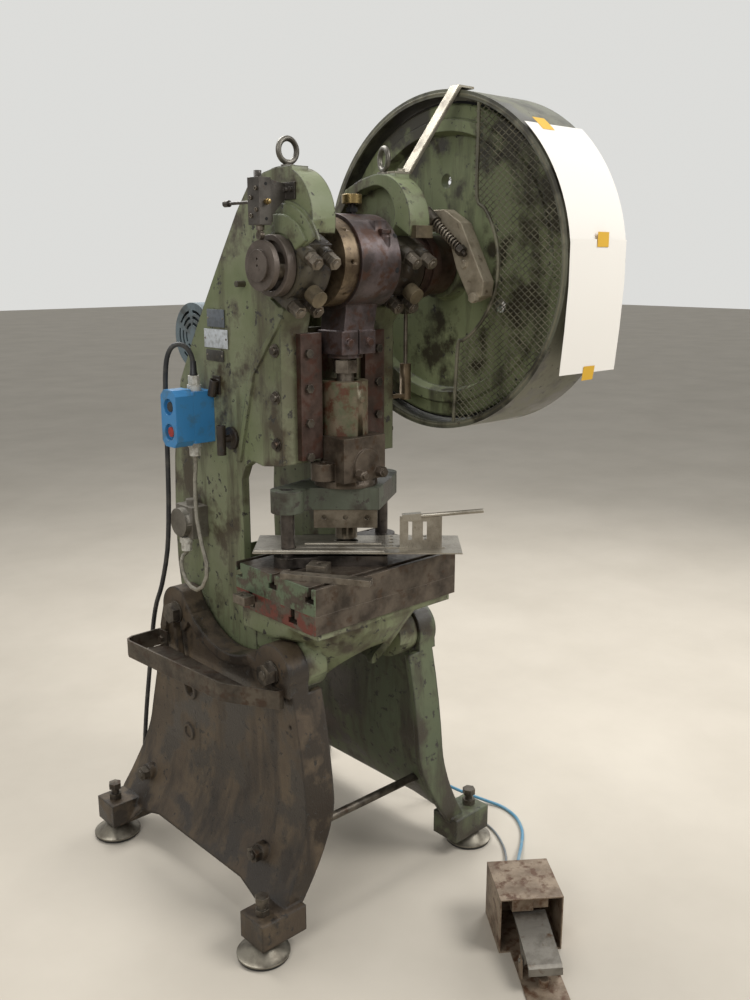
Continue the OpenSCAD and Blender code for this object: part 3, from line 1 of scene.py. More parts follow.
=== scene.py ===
import json
import math
import bpy
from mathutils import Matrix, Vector
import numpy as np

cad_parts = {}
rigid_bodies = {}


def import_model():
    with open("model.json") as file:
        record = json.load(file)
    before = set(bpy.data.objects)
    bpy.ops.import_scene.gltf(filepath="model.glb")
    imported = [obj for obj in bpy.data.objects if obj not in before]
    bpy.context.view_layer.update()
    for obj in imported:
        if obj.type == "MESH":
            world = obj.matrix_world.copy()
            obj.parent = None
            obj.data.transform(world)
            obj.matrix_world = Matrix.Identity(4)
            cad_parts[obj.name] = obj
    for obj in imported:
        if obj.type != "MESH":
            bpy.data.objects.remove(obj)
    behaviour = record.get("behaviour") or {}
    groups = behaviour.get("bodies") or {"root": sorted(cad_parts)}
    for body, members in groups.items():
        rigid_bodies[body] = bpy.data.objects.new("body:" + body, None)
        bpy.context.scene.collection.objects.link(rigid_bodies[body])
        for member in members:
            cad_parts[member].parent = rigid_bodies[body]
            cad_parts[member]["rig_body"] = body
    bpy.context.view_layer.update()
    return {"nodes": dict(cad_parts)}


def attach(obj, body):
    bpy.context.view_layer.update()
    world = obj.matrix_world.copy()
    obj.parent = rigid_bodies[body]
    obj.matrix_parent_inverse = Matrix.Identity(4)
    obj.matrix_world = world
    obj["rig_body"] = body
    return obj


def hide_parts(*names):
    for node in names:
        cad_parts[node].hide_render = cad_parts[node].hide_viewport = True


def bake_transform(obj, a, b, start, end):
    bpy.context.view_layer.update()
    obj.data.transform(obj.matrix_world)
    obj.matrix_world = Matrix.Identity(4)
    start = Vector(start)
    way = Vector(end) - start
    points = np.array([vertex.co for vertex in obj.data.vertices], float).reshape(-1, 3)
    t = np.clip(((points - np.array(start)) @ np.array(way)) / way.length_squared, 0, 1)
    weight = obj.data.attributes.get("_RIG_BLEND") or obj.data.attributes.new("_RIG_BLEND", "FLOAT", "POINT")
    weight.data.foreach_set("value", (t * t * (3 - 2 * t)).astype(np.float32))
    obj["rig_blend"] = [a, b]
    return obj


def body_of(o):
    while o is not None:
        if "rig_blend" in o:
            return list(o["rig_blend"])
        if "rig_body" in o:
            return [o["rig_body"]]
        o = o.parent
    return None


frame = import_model()


# The view is that of a person standing in front of the press and to its left, at eye height.
# Places are written in millimetres from the middle of the four feet, and turned to the frame's metres here.
def place(x, y, z):
    return Vector(((x - 41)/1000, (y + 259.469)/1000, z/1000))


# the eye is 1.55 m above the floor, looks 13.6 degrees down, and sees the press's front and left side
bpy.ops.object.camera_add(location=place(-1489, -1959, 1550),
                          rotation=(math.radians(76.39), 0, math.radians(-42.62)))
camera = bpy.context.object
camera.data.lens = 35.557  # millimetres, on Blender's own film width of 36 mm
bpy.context.scene.camera = camera


# The supply cable is a rubber-sheathed flexible lead, 12 mm thick, that leaves the starter's top gland in a low arch.
# It runs down behind the frame and the left leg, and the rest lies in a coil on the floor, with its plug beside it.
def as_mesh(name, curve):
    """A mesh object made from the curve, left selected and active."""
    piece = bpy.data.objects.new(name, curve)
    bpy.context.collection.objects.link(piece)
    bpy.ops.object.select_all(action="DESELECT")
    piece.select_set(True)
    bpy.context.view_layer.objects.active = piece
    bpy.ops.object.convert(target="MESH")
    return bpy.context.object


def tube(name, points, radius, per_span=6, sides=12):
    """Smooth round tube through the points, as a mesh, and the line that it follows."""
    line = []
    for i in range(len(points) - 1):
        a, b, c, d = (Vector(points[max(0, min(len(points) - 1, j))]) for j in (i - 1, i, i + 1, i + 2))
        for k in range(per_span):
            t = k/per_span
            line.append(0.5*(2*b + t*(c - a) + t*t*(2*a - 5*b + 4*c - d) + t**3*(3*b - a - 3*c + d)))
    line.append(Vector(points[-1]))
    curve = bpy.data.curves.new(name, "CURVE")
    curve.dimensions = "3D"
    curve.bevel_depth = radius
    curve.bevel_resolution = sides//4
    curve.use_fill_caps = True
    spline = curve.splines.new("POLY")
    spline.points.add(len(line) - 1)
    for point, at in zip(spline.points, line):
        point.co = (*at, 1)
    piece = as_mesh(name, curve)
    bpy.ops.object.shade_smooth()
    return piece, line


def linear(code):
    """A colour written as sRGB hex, as linear red, green, blue and 1."""
    parts = [int(code[i:i + 2], 16)/255 for i in (1, 3, 5)]
    return (*(p/12.92 if p <= 0.04045 else ((p + 0.055)/1.055)**2.4 for p in parts), 1)


def add(finish, kind, inputs=None, **settings):
    """One node with its settings, its values and its links."""
    node = finish.node_tree.nodes.new("ShaderNode" + kind)
    for name, value in settings.items():
        setattr(node, name, value)
    for name, value in (inputs or {}).items():
        if isinstance(value, bpy.types.NodeSocket):
            finish.node_tree.links.new(value, node.inputs[name])
        else:
            node.inputs[name].default_value = value
    return node


def new_finish(name, **values):
    """A material with those values on its shader's sockets, and the shader."""
    finish = bpy.data.materials.new(name)
    finish.use_nodes = True
    shader = finish.node_tree.nodes["Principled BSDF"]
    for key, value in values.items():
        shader.inputs[key.replace("_", " ")].default_value = value
    return finish, shader


def patches(finish, size, low, high, stretch=(1, 1, 1), detail=5):
    """Soft-edged random patches of about that size in millimetres, from 0 to 1."""
    spot = add(finish, "TexCoord").outputs["Object"]
    laid = add(finish, "Mapping", {"Vector": spot, "Scale": stretch}).outputs[0]
    noise = add(finish, "TexNoise", {"Vector": laid, "Scale": 1000/size, "Detail": detail, "Roughness": 0.62})
    return add(finish, "MapRange", {"Value": noise.outputs[0], "From Min": low, "From Max": high}).outputs[0]


# Rubber, smooth from the extruder, with workshop dust on it that pales it in patches.
def flexible(name, colour, dust, roughness):
    finish, shader = new_finish(name, Roughness=roughness, IOR=1.52)
    dusty = patches(finish, 35, 0.45, 0.75)
    shade = add(finish, "Mix", {0: dusty, 6: linear(colour), 7: linear(dust)}, data_type="RGBA")
    finish.node_tree.links.new(shade.outputs[2], shader.inputs["Base Color"])
    bump = add(finish, "Bump", {"Height": patches(finish, 2, 0.2, 0.8), "Strength": 0.25, "Distance": 0.0003})
    finish.node_tree.links.new(bump.outputs[0], shader.inputs["Normal"])
    return finish


supply_points = [place(*p) for p in (
    (-206, 76, 1284.4), (-206, 76, 1308), (-209, 78, 1332), (-219, 84, 1351), (-233, 94, 1358),
    (-246, 105, 1350), (-253, 115, 1326), (-255, 122, 1288), (-255, 127, 1230), (-254, 131, 1150),
    (-253, 136, 1060), (-252, 144, 950), (-252, 160, 840), (-252, 196, 740), (-250, 232, 680),
    (-246, 260, 620), (-240, 290, 540), (-236, 320, 440), (-232, 350, 340), (-228, 376, 240),
    (-224, 396, 150), (-214, 410, 70), (-194, 420, 24), (-164, 425, 8), (-130, 426, 6.3), (-104, 423, 6.3))]


def on_coil(degrees, radius, high):
    """A place that many millimetres from the middle of the coil and above the floor."""
    angle = math.radians(degrees)
    return place(-20 + radius*math.cos(angle), 340 + radius*math.sin(angle), high)


# the coil lies two turns wide and three high: each has 15 steps of 20 degrees, and the last 3 lead to the next
turns = [(80, 7), (66, 7), (66, 19.5), (80, 19.5), (80, 32), (66, 32)]
steps, step, leading = 15, 20, 3
for n, (radius, high) in enumerate(turns):
    last = n == len(turns) - 1
    next_radius, next_high = (radius, high) if last else turns[n + 1]
    for k in range(steps - leading if last else steps):
        share = max(0, (k - (steps - leading))/leading)
        supply_points.append(on_coil(118 - steps*step*n - step*k, radius + (next_radius - radius)*share,
                                     high + (next_high - high)*share))
# the end crosses the top of the coil and comes down beside it to the plug
for degrees, radius, high in ((178, 66, 33), (158, 66, 36.5), (138, 66.5, 41), (118, 69, 44.5), (98, 74, 45.8),
                              (78, 81, 45.8), (62, 89, 44.5), (47, 100, 41), (34, 114, 36), (24, 129, 31)):
    supply_points.append(on_coil(degrees, radius, high))
plug_at, plug_way = place(125, 388, 28), Vector((0.97, -0.243, 0))
supply_points += [plug_at - plug_way*0.006, plug_at + plug_way*0.012]
supply_lead, supply_line = tube("supply_lead", supply_points, 0.006, per_span=3)
supply_lead.data.materials.append(flexible("rubber_sheath_black", "#1f1f21", "#4a4741", 0.55))
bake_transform(supply_lead, "stand", "frame", place(-250, 260, 560), place(-250, 100, 1240))
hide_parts("supply_cable", "cable_coil")


# The plug is a round five-pin industrial one, moulded in red plastic, with a black cable gland at its back.
# It lies on the floor beside the coil, pulled out of its socket.
def turned(name, rings, at, along, sides=48):
    """A piece as a lathe makes it, or a bar with that many sides. Its rings are radii and places along it in mm."""
    bpy.ops.object.select_all(action="DESELECT")
    bpy.ops.mesh.primitive_circle_add(vertices=sides, radius=rings[0][0]/1000, fill_type="NGON",
                                      location=(0, 0, rings[0][1]/1000))
    piece = bpy.context.object
    piece.name = name
    bpy.ops.object.transform_apply(location=True, rotation=False, scale=False)
    bpy.ops.object.mode_set(mode="EDIT")
    bpy.ops.mesh.select_all(action="SELECT")
    for (r0, z0), (r1, z1) in zip(rings, rings[1:]):
        bpy.ops.mesh.extrude_region_move(TRANSFORM_OT_translate={"value": (0, 0, (z1 - z0)/1000)})
        bpy.ops.transform.resize(value=(r1/r0, r1/r0, 1), center_override=(0, 0, z1/1000))
    bpy.ops.mesh.select_all(action="SELECT")
    bpy.ops.mesh.normals_make_consistent(inside=False)
    bpy.ops.object.mode_set(mode="OBJECT")
    piece.location = at
    piece.rotation_euler = Vector(along).to_track_quat("Z", "Y").to_euler()
    bpy.ops.object.transform_apply(location=True, rotation=True, scale=False)
    bpy.ops.object.shade_smooth_by_angle(angle=math.radians(30))
    return piece


def fitted(piece, finish, body):
    """Gives a new piece its finish and the body that it rides on."""
    piece.data.materials.append(finish)
    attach(piece, body)
    return piece


# the mouldings are nearly smooth and catch soft lights, and the brass pins are plated and brighter
plastic_red = new_finish("moulded_plug_red", Base_Color=linear("#a52a28"), Roughness=0.38, IOR=1.5)[0]
plastic_black = new_finish("moulded_gland_black", Base_Color=linear("#1e1e20"), Roughness=0.45, IOR=1.5)[0]
pin_brass = new_finish("plated_contact_pin", Base_Color=linear("#c9b78a"), Roughness=0.3, Metallic=1.0)[0]
plug_gland = fitted(turned("plug_gland", [(8, 0), (11, 3), (14, 5), (16, 24), (17, 26)], plug_at, plug_way),
                    plastic_black, "stand")
plug_shell = [(17, 25), (21, 27), (24, 60), (25, 62), (28, 63), (28, 74), (27, 75), (26, 76), (26, 112),
              (23.5, 112), (23.5, 80), (1, 80)]
plug_body = fitted(turned("plug_body", plug_shell, plug_at, plug_way), plastic_red, "stand")
up = Vector((0, 0, 1))
sideways = plug_way.cross(up)
# its pins stand on a circle 29 mm across
for n in range(5):
    angle = math.radians(90 + 72*n)
    foot = plug_at + (sideways*math.cos(angle) + up*math.sin(angle))*0.0145
    pin = turned(f"plug_pin_{n + 1}", [(3, 79), (3, 106), (2, 108)], foot, plug_way, 16)
    fitted(pin, pin_brass, "stand")
# the lead leaves the starter through a tapered rubber sleeve, 34 mm long
sleeve = fitted(turned("supply_sleeve", [(9.5, 0), (9.5, 5), (8.5, 7), (7, 34)], supply_points[0], up),
                plastic_black, "frame")


# The pedal's air hose is blue polyurethane tube, 9 mm thick, and its control cable is grey and 6 mm thick.
# Both leave bosses low on the right leg, lie over the floor in one wide bend and go into the pedal's back wall.
def pedal(x, y, z):
    """A place measured from the middle of the pedal's base, along its own sides."""
    return place(156 + x*math.cos(pedal_turn) - y*math.sin(pedal_turn),
                 -690 + x*math.sin(pedal_turn) + y*math.cos(pedal_turn), z)


pedal_turn = math.radians(-37)
pedal_back = Vector((-math.sin(pedal_turn), math.cos(pedal_turn), 0))
hose_points = [place(*p) for p in (
    (238.3, -60, 300), (256, -60, 300), (276, -60, 297), (297, -61, 286), (316, -63, 265), (336, -67, 225),
    (358, -74, 166), (386, -86, 110), (422, -110, 70), (460, -150, 41), (490, -200, 22), (518, -255, 10),
    (534, -310, 5), (520, -370, 5), (480, -425, 5), (425, -468, 7), (370, -505, 17), (318, -542, 32))]
hose_points += [pedal(20, 140, 39), pedal(20, 112, 40), pedal(20, 90, 40), pedal(20, 75, 40)]
cable_points = [place(*p) for p in (
    (238.3, -20, 300), (250, -20, 300), (265, -20, 298), (281, -21, 289), (295, -24, 272), (313, -32, 228),
    (338, -50, 150), (372, -82, 66), (406, -140, 18), (428, -210, 4), (438, -290, 4), (425, -365, 4),
    (390, -430, 4), (350, -476, 7), (308, -510, 18), (268, -540, 28))]
cable_points += [pedal(-20, 130, 33), pedal(-20, 100, 34), pedal(-20, 75, 34)]
blue_tube = flexible("polyurethane_tube_blue", "#4d86a3", "#7f97a0", 0.28)
grey_sheath = flexible("pvc_sheath_grey", "#6f7478", "#8b8880", 0.5)
nickelled = new_finish("nickelled_hose_nut", Base_Color=linear("#a09a8c"), Roughness=0.35, Metallic=0.9)[0]
# the hose has a push-in nut of nickelled brass at each end, and the cable a tapered rubber sleeve
hose_nut = [(8, 0), (8, 7), (6.2, 7), (6.2, 14), (5.4, 15)]
lead_sleeve = [(6.5, 0), (6.5, 3), (5.4, 4), (3.5, 24)]
for name, points, radius, node, finish, slot, end, end_finish, sides in (
        ("air_hose", hose_points, 0.0045, "pedal_hose", blue_tube, "blue_hose", hose_nut, nickelled, 6),
        ("pedal_lead", cable_points, 0.003, "pedal_cable", grey_sheath, "grey_cable",
         lead_sleeve, plastic_black, 32)):
    piece, line = tube(name, points, radius)
    fitted(piece, finish, "stand")
    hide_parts(node)
    ends = [fitted(turned(f"{name}_{where}", end, at, way, sides), end_finish, "stand")
            for where, at, way in (("end_at_leg", points[0], (1, 0, 0)), ("end_at_pedal", points[-1], pedal_back))]


# The room is only a pale floor and a pale background, with soft light from large panels above and at both sides.
# The floor is smooth concrete, sealed and slightly cloudy, so it is nearly matt.
bpy.ops.mesh.primitive_plane_add(size=60, location=(0, 0, -0.0005))
floor = bpy.context.object
floor.name = "floor"
concrete, shader = new_finish("sealed_concrete", Roughness=0.75)
clouds = patches(concrete, 700, 0.3, 0.7)
cloud = add(concrete, "Mix", {0: clouds, 6: linear("#bdb4a5"), 7: linear("#c9c0b1")}, data_type="RGBA")
concrete.node_tree.links.new(cloud.outputs[2], shader.inputs["Base Color"])
floor.data.materials.append(concrete)

# rays from the camera, from gloss and through glass see a pale wall, and all others a dimmer, softer room
world = bpy.data.worlds.new("soft_room")
bpy.context.scene.world = world
world.use_nodes = True
seen = add(world, "LightPath").outputs
direct = add(world, "Math", {0: seen["Is Camera Ray"], 1: seen["Is Glossy Ray"]}, operation="MAXIMUM").outputs[0]
direct = add(world, "Math", {0: direct, 1: seen["Is Transmission Ray"]}, operation="MAXIMUM").outputs[0]
glow = world.node_tree.nodes["Background"]
air = add(world, "Mix", {0: direct, 6: (0.36, 0.37, 0.38, 1), 7: (0.72, 0.72, 0.70, 1)}, data_type="RGBA")
world.node_tree.links.new(air.outputs[2], glow.inputs["Color"])
# four square panels: their places, sides in metres, watts, and the places on the press that they face
for at, size, power, aim in (((1.4, -2.6, 3.6), 1.8, 105, (0.1, 0, 1.1)), ((-3.0, -1.4, 2.8), 1.6, 40, (0, 0, 0.9)),
                             ((0.1, 1.6, 3.6), 1.8, 95, (0, 0, 1.0)), ((3.2, 0.6, 2.6), 1.6, 45, (0, 0, 1.2))):
    bpy.ops.object.light_add(type="AREA", location=at)
    lamp = bpy.context.object
    lamp.data.size = size
    lamp.data.energy = power
    lamp.rotation_euler = (Vector(aim) - Vector(at)).to_track_quat("-Z", "Y").to_euler()
bpy.context.scene.view_settings.view_transform = "Standard"


# The two legs are hollow iron castings. The left one lies bare and brown with oil, the right one keeps more paint.
# They stand on their levelling bolts, joined low down by two tie rods.
def edges(finish, width):
    """A normal that rounds sharp corners by that many millimetres, and how much of a corner each place is."""
    rounded = add(finish, "Bevel", {"Radius": width/1000}, samples=4).outputs[0]
    flat = add(finish, "NewGeometry").outputs["Normal"]
    facing = add(finish, "VectorMath", {0: rounded, 1: flat}, operation="DOT_PRODUCT").outputs["Value"]
    return rounded, add(finish, "MapRange", {"Value": facing, "From Min": 0.99, "From Max": 0.86}).outputs[0]


# Brush-painted sand casting: the paint has faded, oil has run down it, and chips and rubbed corners show dark iron.
# The eye gets cloudy greens, brown runs, a pebbled surface and a dull gloss where it is oily.
def worn_paint(name, paint, faded, iron, grime, chipped=0.64, dirt=0.55, grain=0.5, corner=3, oil_and_shade_spot=None):
    finish, shader = new_finish(name)
    rounded, corners = edges(finish, corner)
    bleached = patches(finish, 240, 0.38, 0.62)
    colour = add(finish, "Mix", {0: bleached, 6: linear(paint), 7: linear(faded)}, data_type="RGBA")
    runs = patches(finish, 70, dirt, dirt + 0.18, (1, 1, 0.16))
    colour = add(finish, "Mix", {0: runs, 6: colour.outputs[2], 7: linear(grime)}, data_type="RGBA")
    smears = patches(finish, 120, dirt, dirt + 0.1)
    colour = add(finish, "Mix", {0: smears, 6: colour.outputs[2], 7: linear(grime)}, data_type="RGBA")
    if oil_and_shade_spot:
        # the spot given is the middle of a darkened place and its reach in mm; the darkening, oil stain and painted
        # shade together, is full within two fifths of that
        middle, reach = oil_and_shade_spot
        spot = add(finish, "TexCoord").outputs["Object"]
        away = add(finish, "VectorMath", {0: spot, 1: middle}, operation="DISTANCE").outputs["Value"]
        near = add(finish, "MapRange", {"Value": away, "From Min": reach/1000, "From Max": reach/2500}).outputs[0]
        oil_and_shade = add(finish, "Math", {0: near, 1: patches(finish, 50, 0.2, 0.52)}, operation="MULTIPLY").outputs[0]
        colour = add(finish, "Mix", {0: oil_and_shade, 6: colour.outputs[2], 7: linear(grime)}, data_type="RGBA")
    chips = patches(finish, 22, chipped, chipped + 0.03, detail=8)
    rubbed = add(finish, "Math", {0: corners, 1: patches(finish, 30, 0.35, 0.6)}, operation="MULTIPLY").outputs[0]
    bare = add(finish, "Math", {0: chips, 1: rubbed}, operation="MAXIMUM").outputs[0]
    colour = add(finish, "Mix", {0: bare, 6: colour.outputs[2], 7: linear(iron)}, data_type="RGBA")
    finish.node_tree.links.new(colour.outputs[2], shader.inputs["Base Color"])
    gloss = add(finish, "MapRange", {"Value": smears, "To Min": 0.58, "To Max": 0.36}).outputs[0]
    finish.node_tree.links.new(gloss, shader.inputs["Roughness"])
    height = add(finish, "Math", {0: patches(finish, 5, 0, 1, detail=3), 1: bare}, operation="SUBTRACT").outputs[0]
    bump = add(finish, "Bump", {"Height": height, "Normal": rounded, "Strength": grain, "Distance": 0.0009})
    finish.node_tree.links.new(bump.outputs[0], shader.inputs["Normal"])
    return finish


def smoothed(name, finish, angle=30):
    """Stands a copy of a node in its place, with its facets joined and its curved faces shaded round."""
    bpy.ops.object.select_all(action="DESELECT")
    source = frame["nodes"][name]
    source.select_set(True)
    bpy.context.view_layer.objects.active = source
    bpy.ops.object.duplicate()
    piece = bpy.context.object
    piece.name = name + "_surface"
    body = body_of(source)[0]
    for key in list(piece.keys()):
        del piece[key]
    bpy.ops.object.mode_set(mode="EDIT")
    bpy.ops.mesh.select_all(action="SELECT")
    bpy.ops.mesh.remove_doubles(threshold=0.00001)
    bpy.ops.mesh.dissolve_limited(angle_limit=math.radians(0.5))
    bpy.ops.object.mode_set(mode="OBJECT")
    bpy.ops.object.shade_smooth_by_angle(angle=math.radians(angle))
    wide = piece.modifiers.new("wide_faces_lead", "WEIGHTED_NORMAL")
    wide.keep_sharp = True
    bpy.ops.object.modifier_apply(modifier="wide_faces_lead")
    piece.data.materials.clear()
    piece.data.materials.append(finish)
    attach(piece, body)
    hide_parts(name)
    return piece


bare_iron = worn_paint("oiled_cast_iron", "#44382b", "#62533f", "#2c2721", "#2b231b", 0.62, 0.47, 0.9, 9)
leg_green = worn_paint("leg_green_paint", "#4f5740", "#5d6349", "#322f28", "#373126", 0.6, 0.48, 0.7, 9)
smoothed("left_leg", bare_iron)
smoothed("right_leg", leg_green)


# Tie rods, levelling, pivot and clamp bolts are turned mild steel, black with oil and pale on the corners.
# Their nuts are plain hexagons, rusted in the faces that no spanner touches.

# Steel and bare iron that have been handled with oily gloves for decades: brown film, rust tints, fine scratches.
# The eye gets a satin metal whose gloss and colour change from patch to patch, brighter on its corners.
def oily_metal(name, metal, film, rust, shine=0.75, filmed=0.45, rusty=0.6, rough=0.42, lay=(1, 1, 14), corner=1.5):
    finish, shader = new_finish(name, Metallic=shine)
    rounded, corners = edges(finish, corner)
    filmy = patches(finish, 60, filmed, filmed + 0.25)
    colour = add(finish, "Mix", {0: filmy, 6: linear(metal), 7: linear(film)}, data_type="RGBA")
    stain = patches(finish, 28, rusty, rusty + 0.12, detail=8)
    colour = add(finish, "Mix", {0: stain, 6: colour.outputs[2], 7: linear(rust)}, data_type="RGBA")
    bright = add(finish, "Math", {0: corners, 1: 0.7}, operation="MULTIPLY").outputs[0]
    colour = add(finish, "Mix", {0: bright, 6: colour.outputs[2], 7: linear(metal)}, data_type="RGBA")
    finish.node_tree.links.new(colour.outputs[2], shader.inputs["Base Color"])
    scratches = patches(finish, 9, 0.3, 0.7, lay, 3)
    gloss = add(finish, "MapRange", {"Value": scratches, "To Min": rough - 0.1, "To Max": rough + 0.12}).outputs[0]
    finish.node_tree.links.new(gloss, shader.inputs["Roughness"])
    bump = add(finish, "Bump", {"Height": scratches, "Normal": rounded, "Strength": 0.2, "Distance": 0.0003})
    finish.node_tree.links.new(bump.outputs[0], shader.inputs["Normal"])
    return finish


black_bolt = oily_metal("oiled_mild_steel", "#6c6458", "#312b25", "#453426", 0.6, 0.36, 0.56)
for name in ("tie_rods", "levelling_bolts", "pivot_bolts", "clamp_bolts"):
    smoothed(name, black_bolt)

# Each foot stands on a machine mount: a pressed steel cap, zinc plated and greasy, over a moulded rubber ring.
mount_cap = oily_metal("zinc_plated_pressing", "#857f72", "#51493d", "#4d3f30", 0.7, 0.45, 0.64, 0.38)
smoothed("levelling_mounts", mount_cap, 50)
smoothed("mount_pads", flexible("moulded_rubber", "#1b1b1b", "#37342f", 0.6), 50)

# The tool tray is a flat steel strap, bent round cold and screwed to the left leg, over a sheet floor.
tray_steel = oily_metal("bent_strap_steel", "#5b5246", "#352e27", "#423226", 0.45, 0.4, 0.5, 0.5)
smoothed("tool_tray", tray_steel)


# The pedal's hood is folded and welded steel sheet, scorched and rusty brown, and its treadle is bent plate.
# Shoes have polished the treadle to a dull grey.
def coat(finish, *nodes):
    """Gives CAD nodes of the right shape their finish."""
    for name in nodes:
        node = frame["nodes"][name]
        node.data.materials.clear()
        node.data.materials.append(finish)


hood_steel = oily_metal("rusty_folded_sheet", "#94836f", "#6b5a49", "#5a3f2c", 0.35, 0.4, 0.5, 0.52, corner=1)
coat(hood_steel, "pedal_guard")
coat(oily_metal("shoe_polished_plate", "#7d786f", "#4b443b", "#55412f", 0.6, 0.45, 0.6, 0.4, corner=1), "treadle")

# The C-shaped frame is one big grey-green iron casting, smoothed with filler before it was painted by hand.
# Below the domes, round the front of the throat, its paint is darkened, partly by oil from the bearings and partly as
# painted shade.
frame_paint = worn_paint("frame_green_paint", "#69704f", "#7f8267", "#34312a", "#443c2c", 0.61, 0.51, 0.45, 5,
                         (place(0, -340, 1300), 330))
smoothed("frame_casting", frame_paint)

# Bearing caps are bare dark castings, soaked in oil, held by bright studs with doubled nuts.
cap_iron = worn_paint("oil_soaked_casting", "#443e31", "#4f4939", "#2a2722", "#2c231b", 0.58, 0.44, 0.7, 4)
smoothed("bearing_caps", cap_iron)
stud_steel = oily_metal("bright_stud_steel", "#857c6f", "#453c33", "#4d3c2e", 0.75, 0.4, 0.6, 0.4)
smoothed("cap_studs", stud_steel)
bush_bronze = oily_metal("oiled_bearing_bronze", "#75654f", "#493b2b", "#33271d", 0.6, 0.4, 0.54, 0.44, (14, 1, 1))
smoothed("crank_bushes", bush_bronze)
smoothed("lubricators", oily_metal("greasy_brass", "#746852", "#4b4234", "#403528", 0.5, 0.4, 0.56, 0.46))

# The gib plates that guide the ram are planed iron, brown with old grease, with hexagon screws down each side.
coat(oily_metal("greasy_planed_iron", "#54423a", "#35271f", "#452a1f", 0.4, 0.4, 0.5, 0.42, corner=2), "gibs")
smoothed("gib_screws", black_bolt)

# The two table plates are planed steel, black-brown and dented, with paint left only on their left ends.
table_steel = oily_metal("planed_table_steel", "#5f554a", "#352d26", "#443427", 0.5, 0.4, 0.55, 0.4, (1, 1, 1), 2.5)
coat(table_steel, "bolster_upper", "bolster_lower")
smoothed("clamp_blocks", stud_steel)

# Lifting eyes are drop forged and black.
smoothed("eye_bolts", oily_metal("forged_steel", "#77736a", "#45413a", "#503f31", 0.7, 0.4, 0.6, 0.42))

# The guard round the flywheel is rolled sheet, sprayed dark green inside and out, with angle rings on both edges.
guard_paint = worn_paint("guard_sheet_paint", "#565646", "#6d6c5b", "#34312a", "#36332a", 0.63, 0.5, 0.15, 1)
smoothed("guard_band", guard_paint)


# Expanded-metal netting closes the guard: a crescent beside the clutch and a full disc on the far side.
# The sheet is slit and pulled into small diamonds, 20 mm long and 15.5 mm high, and welded to a strip round its edge.
netting_paint = worn_paint("netting_paint", "#6b6853", "#7a7562", "#4a453a", "#423e30", 0.62, 0.5, 0.1, 0.5)
crank_y, crank_z = -240, 1540  # the crank's axis, which is the middle of the flywheel and its guard
guard_left, guard_right = 292.5, 487  # the planes of the two nets


def netting(name, x, kept):
    """A flat sheet of netting across X, of the diamonds whose middles are kept, in mm from the crank's axis."""
    diamond_long, diamond_high, many = 20, 15.5, 92
    bpy.ops.object.select_all(action="DESELECT")
    bpy.ops.mesh.primitive_grid_add(x_subdivisions=many, y_subdivisions=many, size=many, location=(0, 0, 0))
    net = bpy.context.object
    net.name = name
    bpy.ops.object.mode_set(mode="EDIT")
    bpy.ops.mesh.select_all(action="SELECT")
    bpy.ops.transform.rotate(value=math.radians(45), orient_axis="Z", center_override=(0, 0, 0))
    bpy.ops.transform.resize(value=(diamond_long/2000*math.sqrt(2), diamond_high/2000*math.sqrt(2), 1),
                             center_override=(0, 0, 0))
    bpy.ops.mesh.select_all(action="DESELECT")
    bpy.ops.object.mode_set(mode="OBJECT")
    for face in net.data.polygons:
        face.select = not kept(face.center.x*1000, face.center.y*1000)
    bpy.ops.object.mode_set(mode="EDIT")
    bpy.ops.mesh.select_mode(type="FACE")
    bpy.ops.mesh.delete(type="FACE")
    bpy.ops.object.mode_set(mode="OBJECT")
    # the sheet's strands are 3.2 mm wide and lean 0.7 mm to and fro where they cross
    axis = place(x, crank_y, crank_z)
    for corner in net.data.vertices:
        lean = 0.0007 if round(corner.co.x/(diamond_long/2000)) % 2 else -0.0007
        corner.co = axis + Vector((lean, corner.co.x, corner.co.y))
    wires = net.modifiers.new("strands", "WIREFRAME")
    wires.thickness = 0.0032
    wires.use_even_offset = False
    bpy.ops.object.modifier_apply(modifier="strands")
    return fitted(net, netting_paint, "frame")


def in_crescent(y, z):
    """Whether a place is on the near net, which leaves the clutch and all in front of it free."""
    if not 200 <= math.hypot(y, z) <= 390 or y > -50:
        return False
    if z > 0 and y > -130:
        return False
    return z > -120 or y < -80 + (-186 - z)*0.04


near_net = netting("near_netting", guard_left, in_crescent)
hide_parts("guard_mesh")
netting("far_netting", guard_right, lambda y, z: math.hypot(y, z) < 388)
# a round bar of 9 mm follows the crescent's inner edge, and a ring of 12 mm the rim on either side
edge = [(-130, 372), (-130, 262), (-130, 152)]
edge += [(-200*math.cos(math.radians(a)), 200*math.sin(math.radians(a))) for a in range(40, -66, -6)]
edge += [(-80, -186), (-74, -286), (-69, -386)]
rim_bar = tube("crescent_edge_bar", [place(guard_left, crank_y + y, crank_z + z) for y, z in edge], 0.0045, 3, 8)[0]
fitted(rim_bar, netting_paint, "frame")
for name, x in (("near_net_ring", 293), ("far_net_ring", guard_right)):
    bpy.ops.object.select_all(action="DESELECT")
    bpy.ops.mesh.primitive_torus_add(location=place(x, crank_y, crank_z), rotation=(0, math.radians(90), 0),
                                     major_radius=0.389, minor_radius=0.006, major_segments=96, minor_segments=8)
    bpy.ops.object.shade_smooth()
    bpy.ops.object.transform_apply(location=True, rotation=True, scale=True)
    ring = bpy.context.object
    ring.name = name
    fitted(ring, netting_paint, "frame")

# A flat bar stays the guard's band to the right dome.
coat(oily_metal("flat_bar_steel", "#8d8778", "#5b5347", "#5c4836", 0.6, 0.45, 0.58, 0.42), "guard_stay")

# The motor is a finned aluminium body with a pressed fan cowl, painted blue-grey.
motor_paint = worn_paint("motor_blue_grey_paint", "#5c6a70", "#69757a", "#4a4c4a", "#3f4342", 0.66, 0.56, 0.2, 1)
smoothed("motor_body", motor_paint)
smoothed("motor_cowl", motor_paint)

